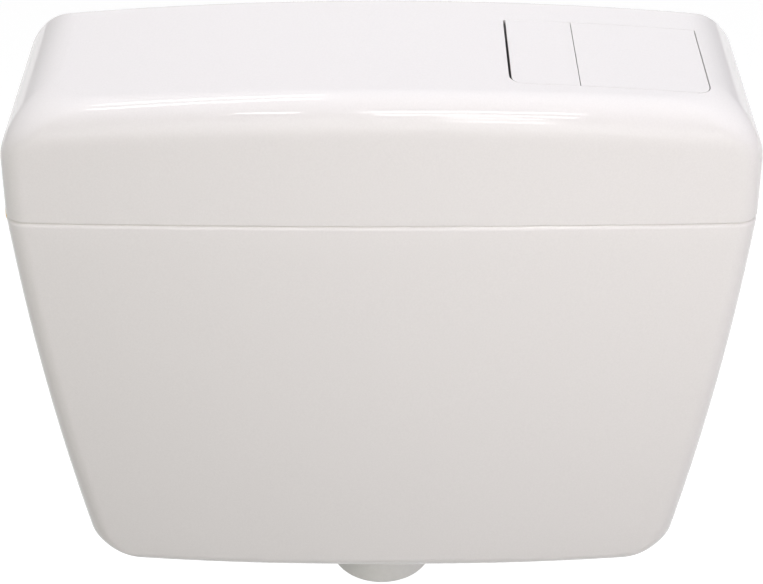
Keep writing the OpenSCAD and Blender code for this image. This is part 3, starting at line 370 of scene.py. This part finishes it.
# Noise scales grow as the patches get smaller; depths are in metres
GLOSS_SCALE, TARNISH_SCALE, LINE_SCALE = 22.0, 90.0, 900.0
RUBBER_CLOUD_SCALE, RUBBER_GLOSS_SCALE, RUBBER_GRAIN_SCALE = 140.0, 60.0, 2600.0
SKIN_DEPTH, LINE_DEPTH = 0.0002, 0.0001
COAT_BASE_SPECULAR, COAT_ROUGHNESS = 0.08, 0.03
RUBBER_ROUGH, RUBBER_GRAIN = (0.62, 0.85), 0.35


def shader(name):
    mat = bpy.data.materials.new(name)
    mat.use_nodes = True
    tree = mat.node_tree
    coords = tree.nodes.new("ShaderNodeTexCoord").outputs["Object"]
    return mat, tree, tree.nodes["Principled BSDF"], coords


def noise(tree, coords, scale, detail=4.0, roughness=0.55, stretch=None):
    if stretch:
        mapping = tree.nodes.new("ShaderNodeMapping")
        mapping.inputs["Scale"].default_value = stretch
        tree.links.new(coords, mapping.inputs["Vector"])
        coords = mapping.outputs["Vector"]
    node = tree.nodes.new("ShaderNodeTexNoise")
    node.inputs["Scale"].default_value = scale
    node.inputs["Detail"].default_value = detail
    node.inputs["Roughness"].default_value = roughness
    tree.links.new(coords, node.inputs["Vector"])
    return node.outputs["Fac"]


def ramp(tree, value, stops):
    node = tree.nodes.new("ShaderNodeValToRGB")
    elements = node.color_ramp.elements
    while len(elements) < len(stops):
        elements.new(0.5)
    for element, (place, colour) in zip(elements, stops):
        element.position, element.color = place, (*colour, 1.0)
    tree.links.new(value, node.inputs["Fac"])
    return node.outputs["Color"]


def spread(tree, value, low, high, start=0.3, end=0.7):
    node = tree.nodes.new("ShaderNodeMapRange")
    node.inputs["From Min"].default_value, node.inputs["From Max"].default_value = start, end
    node.inputs["To Min"].default_value, node.inputs["To Max"].default_value = low, high
    tree.links.new(value, node.inputs["Value"])
    return node.outputs["Result"]


def bump(tree, value, strength, distance, bsdf):
    node = tree.nodes.new("ShaderNodeBump")
    node.inputs["Strength"].default_value = strength
    node.inputs["Distance"].default_value = distance
    tree.links.new(value, node.inputs["Height"])
    tree.links.new(node.outputs["Normal"], bsdf.inputs["Normal"])


def plastic(name, pale, deep, rough, grain, bump_scale, bump_strength, coat=0.0):
    """Moulded plastic: cloudy colour with a fine fleck, uneven gloss and a faint skin texture."""
    mat, tree, bsdf, coords = shader(name)
    cloud = noise(tree, coords, grain, detail=8.0, roughness=0.7)
    tree.links.new(ramp(tree, cloud, [(0.3, deep), (0.7, pale)]), bsdf.inputs["Base Color"])
    tree.links.new(spread(tree, noise(tree, coords, GLOSS_SCALE), *rough), bsdf.inputs["Roughness"])
    bump(tree, noise(tree, coords, bump_scale, detail=2.0), bump_strength, SKIN_DEPTH, bsdf)
    if coat:
        bsdf.inputs["Specular IOR Level"].default_value = COAT_BASE_SPECULAR
        bsdf.inputs["Coat Weight"].default_value = coat
        bsdf.inputs["Coat Roughness"].default_value = COAT_ROUGHNESS
    return mat


def metal(name, pale, deep, rough, stretch, strength):
    """Turned or drawn metal: fine lines along the tool's path and a patchy tarnish."""
    mat, tree, bsdf, coords = shader(name)
    bsdf.inputs["Metallic"].default_value = 1.0
    patches = noise(tree, coords, TARNISH_SCALE, detail=6.0, roughness=0.65)
    tree.links.new(ramp(tree, patches, [(0.3, deep), (0.65, pale)]), bsdf.inputs["Base Color"])
    lines = noise(tree, coords, LINE_SCALE, detail=3.0, stretch=stretch)
    tree.links.new(spread(tree, lines, *rough), bsdf.inputs["Roughness"])
    bump(tree, lines, strength, LINE_DEPTH, bsdf)
    return mat


def rubber(name, pale, deep):
    mat, tree, bsdf, coords = shader(name)
    cloud = noise(tree, coords, RUBBER_CLOUD_SCALE, detail=7.0)
    tree.links.new(ramp(tree, cloud, [(0.35, deep), (0.7, pale)]), bsdf.inputs["Base Color"])
    gloss = noise(tree, coords, RUBBER_GLOSS_SCALE)
    tree.links.new(spread(tree, gloss, *RUBBER_ROUGH), bsdf.inputs["Roughness"])
    bump(tree, noise(tree, coords, RUBBER_GRAIN_SCALE, detail=2.0), RUBBER_GRAIN, SKIN_DEPTH, bsdf)
    return mat


FINISH = {
    "casing": plastic(
        "casing_gloss", (0.84, 0.81, 0.79), (0.80, 0.77, 0.75), rough=(0.28, 0.34),
        grain=900.0, bump_scale=900.0, bump_strength=0.04, coat=0.75),
    "white_plastic": plastic(
        "white_satin", (0.80, 0.785, 0.76), (0.76, 0.745, 0.72), rough=(0.30, 0.45),
        grain=260.0, bump_scale=1500.0, bump_strength=0.12),
    "grey_plastic": plastic(
        "grey_satin", (0.33, 0.345, 0.36), (0.28, 0.295, 0.31), rough=(0.34, 0.50),
        grain=260.0, bump_scale=1500.0, bump_strength=0.15),
    "blue_plastic": plastic(
        "blue_satin", (0.075, 0.17, 0.35), (0.055, 0.135, 0.29), rough=(0.30, 0.46),
        grain=260.0, bump_scale=1500.0, bump_strength=0.15),
    "rubber": rubber("black_rubber", (0.022, 0.022, 0.023), (0.010, 0.010, 0.011)),
    "brass": metal(
        "turned_brass", (0.62, 0.42, 0.15), (0.50, 0.33, 0.11), rough=(0.20, 0.38),
        stretch=(14.0, 1.0, 1.0), strength=0.12),
    "steel": metal(
        "drawn_steel", (0.50, 0.50, 0.51), (0.40, 0.40, 0.41), rough=(0.24, 0.42),
        stretch=(1.0, 14.0, 14.0), strength=0.10),
}
built = set()


# Tank

def build_tank():
    turn = math.acos(1 - LIP_IN/RIM_ROUND_R)
    straight = TANK_H - RIM_ROUND_R*math.sin(turn)
    rings = [tank_ring(s, 0) for s in edge_steps(BOTTOM_SIDE_R)]
    steps = range(1, WALL_N + 1)
    rings += [tank_ring(BOTTOM_SIDE_R + (straight - BOTTOM_SIDE_R)*i/WALL_N, 0) for i in steps]
    for a in np.linspace(0, turn, RIM_N + 1)[1:]:
        rings.append(tank_ring(straight + RIM_ROUND_R*math.sin(a), 0, RIM_ROUND_R*(1 - math.cos(a))))
    rings += [tank_ring(TANK_H + LIP_H - LIP_EDGE, LIP_IN),
              tank_ring(TANK_H + LIP_H, LIP_IN + LIP_EDGE), tank_ring(TANK_H + LIP_H, TANK_WALL)]
    rings += [tank_ring(TANK_H + (BOTTOM_SIDE_R - TANK_H)*i/WALL_N, TANK_WALL) for i in steps]
    rings += [tank_ring(TANK_WALL + s, TANK_WALL) for s in edge_steps(BOTTOM_SIDE_R - TANK_WALL)[-2::-1]]
    tank = loft("tank_casing", rings)
    carve(tank, [
        prism(stadium(side*SLOT_X, SLOT_LEN + 2*SLOT_RIM, SLOT_W + 2*SLOT_RIM), "y",
              -TANK_WALL - SLOT_PAD, SLOT_PAD + TANK_WALL/2)
        for side in (-1, 1)], "UNION")
    carve(tank, [
        drum(INLET_SPOT_R, SEAT_OUT - SEAT_IN - SINK, (side*SEAT_IN, -INLET_D, INLET_Z), (side, 0, 0))
        for side in (-1, 1)], "UNION")
    carve(tank, [
        prism(stadium(side*SLOT_X, SLOT_LEN, SLOT_W), "y", SLOT_CUT_START, SLOT_CUT) for side in (-1, 1)])
    carve(tank, [
        drum(SPIGOT_HOLE_R, SPIGOT_CUT, (0, -OUTLET_D, BOTTOM_Z - SPIGOT_CUT_LOW), (0, 0, 1)),
        drum(OUTLET_SPOT_R, PAST, (0, -OUTLET_D, WASHER_Z), (0, 0, 1)),
        drum(OUTLET_SPOT_R, PAST, (0, -OUTLET_D, BACKNUT_Z - PAST), (0, 0, 1))])
    for side in (-1, 1):
        inside, outside = side*(SEAT_IN - INLET_CUT_IN), side*SEAT_OUT
        carve(tank, [
            drum(INLET_HOLE_R, INLET_CUT, (inside, -INLET_D, INLET_Z), (side, 0, 0)),
            drum(INLET_SPOT_R, INLET_SPOT_CUT, (outside, -INLET_D, INLET_Z), (side, 0, 0))])
    smooth(tank)
    dress(tank, "tank_shell")


# Lid

def window_outline(steps=WINDOW_CORNER_N):
    """The key window, seen from above, with rounded front corners."""
    points = [(KEY_LEFT, -KEY_REAR)]
    for centre_x, start in ((KEY_LEFT + KEY_CORNER_R, 180), (KEY_RIGHT - KEY_CORNER_R, 270)):
        for i in range(steps + 1):
            a = math.radians(start + 90*i/steps)
            points.append((centre_x + KEY_CORNER_R*math.cos(a),
                           -KEY_FRONT + KEY_CORNER_R + KEY_CORNER_R*math.sin(a)))
    return points + [(KEY_RIGHT, -KEY_REAR)]


def on_window_edge(p):
    """Whether a point of the lid lies on the key window's upper edge."""
    beside, below = 0.1, 0.6
    return abs(window_distance(p)) < beside and p.z > LID_TOP_Z - crown(p.x) - below


def build_lid():
    straight = LID_H - LID_SIDE_R
    rings = [lid_ring(LID_H - LID_WALL - s, LID_WALL) for s in edge_steps(LID_SIDE_R - LID_WALL)]
    rings += [lid_ring(straight*(1 - i/WALL_N), LID_WALL) for i in range(1, WALL_N + 1)]
    for a in np.radians((90, 60, 30, 0)):
        rings.append(lid_ring(LID_FOOT_R*(1 - math.sin(a)), 0, LID_FOOT_R*(1 - math.cos(a))))
    rings += [lid_ring(straight*i/WALL_N, 0) for i in range(1, WALL_N)]
    rings += [lid_ring(LID_H - s, 0) for s in edge_steps(LID_SIDE_R)[::-1]]
    lid = loft("lid_casing", rings)
    uncut = lid.data.copy()
    tops = {x: LID_TOP_Z - crown(x) for x in SCREW_XS + RIB_XS}
    spots = [(x, -d) for x in SCREW_XS for d in SCREW_DS]
    carve(lid, [
        drum(BOSS_R, tops[x] - BOSS_IN - BOSS_Z, (x, y, BOSS_Z), (0, 0, 1), BAR_N)
        for x, y in spots], "UNION")
    carve(lid, [
        prism(oblong(x - RIB_T/2, x + RIB_T/2, -RIB_FRONT, -RIB_REAR), "z",
              tops[x] - LID_WALL/2 - RIB_H, RIB_H)
        for x in RIB_XS], "UNION")
    carve(lid, [
        drum(SCREW_R + PILOT_SLACK, PILOT_CUT, (x, y, BOSS_Z - PILOT_CUT_LOW), (0, 0, 1), PILOT_N)
        for x, y in spots])
    carve(lid, [prism(window_outline(), "z", WINDOW_CUT_Z, WINDOW_CUT)])
    round_edges(lid, on_window_edge, KEY_FILLET)
    smooth(lid)
    keep_gloss(lid, uncut)
    dress(lid, "lid_shell")


# Keys

def build_key(name, x0, x1, left_r, right_r, foot_x, node):
    shape = (x0, x1, KEY_FRONT - GAP_FRONT, KEY_REAR + GAP_REAR, left_r, right_r)
    rings = [key_ring(*shape, KEY_RIM, KEY_T), key_ring(*shape, KEY_RIM, KEY_SKIRT),
             key_ring(*shape, 0, KEY_SKIRT)]
    for a in np.radians(np.linspace(0, 90, KEY_FILLET_N + 1)):
        rings.append(key_ring(*shape, KEY_FILLET*(1 - math.cos(a)), KEY_FILLET*(1 - math.sin(a))))
    key = loft(name, rings)
    uncut = key.data.copy()
    under = LID_TOP_Z - crown(foot_x) - KEY_T/2
    leg = oblong(foot_x - LEG_W/2, foot_x + LEG_W/2, -FOOT_D - LEG_T/2, -FOOT_D + LEG_T/2)
    joined = [drum(FOOT_R, FOOT_W, (foot_x - FOOT_W/2, -FOOT_D, FOOT_Z), (1, 0, 0), BAR_N),
              prism(leg, "z", FOOT_Z, under - FOOT_Z)]
    neck = LUG_R - LUG_NECK_IN
    for x in (x0 + LUG_IN, x1 - LUG_IN - LUG_W):
        top = LID_TOP_Z - crown(x + LUG_W/2) - KEY_T/2
        web = oblong(x, x + LUG_W, -HINGE_D - neck, -HINGE_D + neck)
        joined.append(drum(LUG_R, LUG_W, (x, -HINGE_D, HINGE_Z), (1, 0, 0), BAR_N))
        joined.append(prism(web, "z", HINGE_Z, top - HINGE_Z))
    carve(key, joined, "UNION")
    carve(key, [drum(HINGE_HOLE_R, x1 - x0 + 2*SINK, (x0 - SINK, -HINGE_D, HINGE_Z), (1, 0, 0), BAR_N)])
    smooth(key)
    keep_gloss(key, uncut)
    dress(key, node)


# Outlet, inlet and small turned pieces

def build_outlet():
    at, up = (0, -OUTLET_D, 0), (0, 0, 1)
    top, floor = UNION_Z + UNION_H, UNION_Z + UNION_FLOOR
    nut = [(UNION_MOUTH_R, UNION_Z + UNION_CHAMFER), (UNION_MOUTH_R + UNION_CHAMFER, UNION_Z)]
    for a in np.radians(np.linspace(-90, 0, BEAD_N + 1)):
        nut.append((UNION_R - UNION_BEAD + UNION_BEAD*math.cos(a),
                    UNION_Z + UNION_BEAD + UNION_BEAD*math.sin(a)))
    nut += [(UNION_R, top - UNION_BEVEL), (UNION_R - UNION_BEVEL, top),
            (UNION_THREAD_R + UNION_CHAMFER, top), (UNION_THREAD_R, top - UNION_CHAMFER),
            (UNION_THREAD_R, floor), (UNION_MOUTH_R, floor)]
    piece = turned("union_ring", nut, at, up, steps=UNION_N)
    smooth(piece)
    dress(piece, "union_nut")
    thread_z, socket_z = SPIGOT_Z + SPIGOT_CHAMFER, SPIGOT_Z + SOCKET_H
    flange_top = FLANGE_Z + FLANGE_T
    seat_top = flange_top + VALVE_SEAT_H
    body = [(SOCKET_R, SPIGOT_Z + SOCKET_CHAMFER), (SOCKET_R + SOCKET_CHAMFER, SPIGOT_Z),
            (SPIGOT_R - SPIGOT_CHAMFER, SPIGOT_Z), (SPIGOT_R, thread_z), (SPIGOT_R, FLANGE_Z),
            (FLANGE_R - FLANGE_EDGE, FLANGE_Z), (FLANGE_R, FLANGE_Z + FLANGE_EDGE),
            (FLANGE_R, flange_top - FLANGE_BREAK), (FLANGE_R - FLANGE_BREAK, flange_top),
            (VALVE_SEAT_R, flange_top), (VALVE_SEAT_R, seat_top - VALVE_SEAT_EDGE),
            (VALVE_SEAT_R - VALVE_SEAT_EDGE, seat_top), (VALVE_SEAT_BORE_R + VALVE_SEAT_EDGE, seat_top),
            (VALVE_SEAT_BORE_R, seat_top - VALVE_SEAT_EDGE), (PORT_R, flange_top),
            (PORT_R, socket_z + PORT_TAPER), (SOCKET_R, socket_z)]
    thread = (SPIGOT_R, thread_z, FLANGE_Z - SPIGOT_PLAIN, SPIGOT_PITCH, SPIGOT_THREAD)
    piece = turned("outlet_spigot", body, at, up, thread, steps=SPIGOT_N)
    smooth(piece)
    dress(piece, "outlet_body")


def build_inlet():
    at, out = (0, -INLET_D, INLET_Z), (-1, 0, 0)
    collar, nut_end = SEAT_IN - INLET_WASHER_T, SEAT_OUT + INLET_NUT_T
    body_end, tail_end = collar - INLET_COLLAR_T, nut_end + INLET_TAIL
    spout_end, thread_end = body_end - INLET_SPOUT, tail_end - INLET_CHAMFER
    tail = [(INLET_BORE_R, spout_end + INLET_EDGE), (INLET_BORE_R + INLET_EDGE, spout_end),
            (INLET_SPOUT_R - INLET_EDGE, spout_end), (INLET_SPOUT_R, spout_end + INLET_EDGE),
            (INLET_SPOUT_R, body_end), (INLET_COLLAR_R - INLET_EDGE, body_end),
            (INLET_COLLAR_R, body_end + INLET_EDGE), (INLET_COLLAR_R, collar), (INLET_R, collar),
            (INLET_R, thread_end), (INLET_R - INLET_CHAMFER, tail_end),
            (INLET_BORE_R + INLET_MOUTH, tail_end), (INLET_BORE_R, tail_end - INLET_MOUTH)]
    thread = (INLET_R, collar, thread_end, INLET_PITCH, INLET_THREAD)
    piece = turned("inlet_stem", tail, at, out, thread)
    smooth(piece)
    dress(piece, "inlet_tail")
    inner, top = collar - PLUG_IN, SEAT_OUT + PLUG_T
    dish, thread_start = top - PLUG_DISH, inner + PLUG_CHAMFER
    plug = [(PLUG_BORE_R, inner + INLET_EDGE), (PLUG_BORE_R + INLET_EDGE, inner),
            (INLET_R - PLUG_CHAMFER, inner), (INLET_R, thread_start), (INLET_R, SEAT_OUT),
            (PLUG_R - PLUG_EDGE, SEAT_OUT), (PLUG_R, SEAT_OUT + PLUG_EDGE), (PLUG_RIM_R, dish),
            (PLUG_TOP_R, top), (PLUG_DISH_R, top), (PLUG_DISH_R - PLUG_DISH, dish), (0, dish),
            (0, SEAT_OUT), (PLUG_BORE_R, SEAT_OUT)]
    thread = (INLET_R, thread_start, SEAT_OUT - PLUG_PLAIN, INLET_PITCH, INLET_THREAD)
    piece = turned("inlet_plug", plug, at, (1, 0, 0), thread)
    smooth(piece)
    dress(piece, "blanking_plug")


def build_screws():
    foot, tip = SCREW_Z - SCREW_HEAD_T, SCREW_Z + SCREW_LEN
    point = tip - SCREW_POINT
    outline = [(0, foot)]
    for a in np.radians(np.linspace(0, 90, DOME_N + 1)):
        outline.append((SCREW_FLAT_R + (SCREW_HEAD_R - SCREW_FLAT_R)*math.sin(a),
                        foot + SCREW_DOME*(1 - math.cos(a))))
    outline += [(SCREW_HEAD_R, SCREW_Z), (SCREW_R, SCREW_Z), (SCREW_R, point),
                (SCREW_POINT_R, tip), (0, tip)]
    thread = (SCREW_R, SCREW_Z + SCREW_PLAIN, point, SCREW_PITCH, SCREW_THREAD)
    for number, (x, d) in enumerate((x, d) for x in SCREW_XS for d in SCREW_DS):
        screw = turned(f"frame_screw_{number}", outline, (x, -d, 0), (0, 0, 1), thread, steps=BAR_N)
        carve(screw, [
            prism(oblong(x - along, x + along, -d - across, -d + across), "z",
                  foot - SINK, CROSS_DEPTH + SINK)
            for along, across in ((CROSS_R, CROSS_W), (CROSS_W, CROSS_R))])
        smooth(screw)
        dress(screw, "frame_screws")


def build_level_screw():
    low, high = (Vector(corner)/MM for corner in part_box("float_screw"))
    x, y, eye_z = (low.x + high.x)/2, (low.y + high.y)/2, high.z - EYE_R
    thread_start, rod_end = low.z + LEVEL_CHAMFER, eye_z - EYE_SINK
    rod = [(0, low.z), (LEVEL_R - LEVEL_CHAMFER, low.z), (LEVEL_R, thread_start),
           (LEVEL_R, rod_end), (0, rod_end)]
    thread = (LEVEL_R, thread_start, eye_z - LEVEL_PLAIN, LEVEL_PITCH, LEVEL_THREAD)
    screw = turned("level_screw", rod, (x, y, 0), (0, 0, 1), thread, steps=LEVEL_N)
    eye = [(EYE_R - EYE_EDGE, 0), (EYE_R, EYE_EDGE), (EYE_R, EYE_LEN - EYE_EDGE),
           (EYE_R - EYE_EDGE, EYE_LEN), (0, EYE_LEN), (0, 0)]
    carve(screw, [turned("tool", eye, (x, low.y, eye_z), (0, 1, 0), steps=LEVEL_N)], "UNION")
    carve(screw, [drum(EYE_HOLE_R, EYE_LEN + 2*PAST, (x, low.y - PAST, eye_z), (0, 1, 0), BAR_N)])
    smooth(screw)
    dress(screw, "float_screw")


def soften(node, width):
    """Breaks the sharp edges of a CAD node, as a mould or a tool leaves them."""
    obj = frame["nodes"][node]
    weld = obj.modifiers.new("weld", "WELD")
    weld.merge_threshold = SAME_CAD_POINT
    flat = obj.modifiers.new("flat", "DECIMATE")
    flat.decimate_type, flat.angle_limit = "DISSOLVE", math.radians(FLAT_ANGLE)
    edge = obj.modifiers.new("edge", "BEVEL")
    edge.width, edge.segments = width*MM, 2
    edge.limit_method, edge.angle_limit = "ANGLE", math.radians(BROKEN_ANGLE)
    edge.harden_normals = True


build_tank()
build_lid()
build_key("half_key_cap", KEY_LEFT + GAP_LEFT, KEY_SPLIT - GAP_MID/2,
          KEY_CORNER_R - GAP_LEFT - GAP_CORNER, KEY_INNER_R, HALF_FOOT_X, "half_flush_key")
build_key("full_key_cap", KEY_SPLIT + GAP_MID/2, KEY_RIGHT - GAP_RIGHT,
          KEY_INNER_R, KEY_CORNER_R - GAP_RIGHT - GAP_CORNER, FULL_FOOT_X, "full_flush_key")
build_outlet()
build_inlet()
build_screws()
build_level_screw()
for node, obj in frame["nodes"].items():
    obj.data.materials.clear()
    obj.data.materials.append(FINISH[SLOT[node]])
    if node not in built:
        soften(node, EDGE_BREAK)


# Floor, light and camera

# Places in metres, the pitch in degrees, and levels of light and shade
FLOOR_SIZE, FLOOR_Z, FLOOR_GREY, FLOOR_SHOWN = 9.0, -0.85, 0.25, 0.93
SKY_LIGHT, SKY_SHOWN, GLOW_START, GLOW_LEVEL = 0.135, 1.0, 0.86, 1.9
CAMERA_AT, CAMERA_PITCH, SENSOR_MM, LENS_MM = (0.0, -1.06455, 0.62967), 34.757, 36.0, 92.536
# The point that the lamps face, and the way to the bright front
LIT = (0, -0.1, 0.05)
BRIGHT_FRONT = (0, -0.95, 0.30)
WHITE = (1.0, 1.0, 1.0)


def build_floor():
    """A grey floor that shows as plain white, and throws little light back."""
    bm = bmesh.new()
    bmesh.ops.create_grid(bm, x_segments=1, y_segments=1, size=FLOOR_SIZE)
    floor = new_object("floor", bm)
    floor.location.z = FLOOR_Z
    mat, tree, bsdf, _ = shader("floor_white")
    bsdf.inputs["Base Color"].default_value = (FLOOR_GREY, FLOOR_GREY, FLOOR_GREY, 1)
    bsdf.inputs["Roughness"].default_value = 0.9
    bsdf.inputs["Specular IOR Level"].default_value = 0.0
    bsdf.inputs["Emission Color"].default_value = (*WHITE, 1)
    path = tree.nodes.new("ShaderNodeLightPath")
    seen = tree.nodes.new("ShaderNodeMath")
    seen.operation = "MAXIMUM"
    tree.links.new(path.outputs["Is Camera Ray"], seen.inputs[0])
    tree.links.new(path.outputs["Is Glossy Ray"], seen.inputs[1])
    strength = tree.nodes.new("ShaderNodeMath")
    strength.operation = "MULTIPLY"
    strength.inputs[1].default_value = FLOOR_SHOWN
    tree.links.new(seen.outputs[0], strength.inputs[0])
    tree.links.new(strength.outputs[0], bsdf.inputs["Emission Strength"])
    floor.data.materials.append(mat)


def build_world():
    """A dim even sky that the camera sees as plain white, with a bright front that only gloss shows."""
    world = bpy.data.worlds.new("studio")
    world.use_nodes = True
    tree = world.node_tree
    back = tree.nodes["Background"]
    back.inputs["Color"].default_value = (*WHITE, 1)
    path = tree.nodes.new("ShaderNodeLightPath")
    facing = tree.nodes.new("ShaderNodeVectorMath")
    facing.operation = "DOT_PRODUCT"
    facing.inputs[1].default_value = Vector(BRIGHT_FRONT).normalized()
    tree.links.new(tree.nodes.new("ShaderNodeTexCoord").outputs["Generated"], facing.inputs[0])
    glow = tree.nodes.new("ShaderNodeMapRange")
    glow.interpolation_type = "SMOOTHSTEP"
    glow.inputs["From Min"].default_value = GLOW_START
    glow.inputs["To Max"].default_value = GLOW_LEVEL
    tree.links.new(facing.outputs["Value"], glow.inputs["Value"])
    shine = tree.nodes.new("ShaderNodeMath")
    shine.operation = "MULTIPLY_ADD"
    tree.links.new(glow.outputs["Result"], shine.inputs[0])
    tree.links.new(path.outputs["Is Glossy Ray"], shine.inputs[1])
    shine.inputs[2].default_value = SKY_LIGHT
    level = tree.nodes.new("ShaderNodeMapRange")
    level.inputs["To Max"].default_value = SKY_SHOWN
    tree.links.new(path.outputs["Is Camera Ray"], level.inputs["Value"])
    tree.links.new(shine.outputs["Value"], level.inputs["To Min"])
    tree.links.new(level.outputs["Result"], back.inputs["Strength"])
    scene.world = world


def area_light(name, start, end, width, watts, colour):
    """A lamp that runs from one point to another and faces the cistern."""
    start, end = Vector(start), Vector(end)
    middle = (start + end)/2
    data = bpy.data.lights.new(name, "AREA")
    data.shape, data.size, data.size_y = "RECTANGLE", (end - start).length, width
    data.energy, data.color = watts, colour
    light = bpy.data.objects.new(name, data)
    away = (middle - Vector(LIT)).normalized()
    side = away.cross(end - start).normalized()
    turn = Matrix((side.cross(away), side, away)).transposed().to_4x4()
    light.matrix_world = Matrix.Translation(middle) @ turn
    scene.collection.objects.link(light)
    return light


def build_camera():
    data = bpy.data.cameras.new("camera")
    data.sensor_fit, data.sensor_width, data.lens = "HORIZONTAL", SENSOR_MM, LENS_MM
    camera = bpy.data.objects.new("camera", data)
    camera.location = CAMERA_AT
    camera.rotation_euler = (math.radians(90 - CAMERA_PITCH), 0.0, 0.0)
    scene.collection.objects.link(camera)
    scene.camera = camera


build_floor()
build_world()
# Soft lamps light the cistern and leave no reflection; the tubes only show in its gloss
for name, start, end, width, watts, colour in (
        ("soft_top", (-0.35, -0.75, 1.15), (0.45, -0.75, 1.15), 0.5, 5.0, (0.89, 0.86, 1.0)),
        ("soft_rear", (-0.75, 0.45, 0.9), (0.90, 0.45, 0.9), 0.5, 9.9, (0.95, 0.97, 1.0)),
        ("soft_front", (-0.05, -1.0, 0.19), (0.60, -1.0, 0.19), 0.3, 5.0, (1.0, 0.99, 0.98)),
        ("soft_right", (0.75, -1.0, -0.15), (1.15, -0.7, -0.15), 0.5, 1.6, (1.0, 0.94, 0.97)),
        ("soft_left", (-1.3, -0.9, 0.6), (-0.9, -1.4, 0.6), 0.7, 4.2, (0.99, 1.0, 0.83)),
        ("side_right", (1.25, -0.3, 0.75), (1.25, 0.5, 0.75), 0.5, 4.0, (0.95, 0.96, 1.0)),
        ("side_left", (-1.25, 0.5, 0.75), (-1.25, -0.3, 0.75), 0.5, 4.2, (0.95, 0.94, 1.0)),
        ("soft_back", (0.5, 1.3, 0.1), (-0.5, 1.3, 0.1), 0.5, 3.0, WHITE)):
    area_light(name, start, end, width, watts, colour).visible_glossy = False
for name, start, end, width, watts in (
        ("tube_rear_0", (-0.58, 0.30, 1.5), (-0.12, 0.68, 1.5), 0.06, 1.7),
        ("tube_rear_1", (-0.58, -0.08, 1.5), (-0.12, 0.25, 1.5), 0.06, 1.7),
        ("tube_left", (-0.33, -1.0, 1.5), (-0.19, -1.06, 1.5), 0.08, 0.6),
        ("tube_front_0", (-0.05, -1.07, 1.5), (0.45, -0.87, 1.5), 0.07, 2.2),
        ("tube_front_1", (-0.02, -1.45, 1.5), (0.48, -1.35, 1.5), 0.07, 2.2),
        ("tube_front_2", (0.18, -1.87, 1.5), (0.45, -1.80, 1.5), 0.08, 1.2),
        ("tube_front_3", (0.25, -2.85, 1.5), (0.55, -2.62, 1.5), 0.16, 2.4)):
    area_light(name, start, end, width, watts, WHITE).visible_diffuse = False
build_camera()
scene.view_settings.view_transform = "Standard"
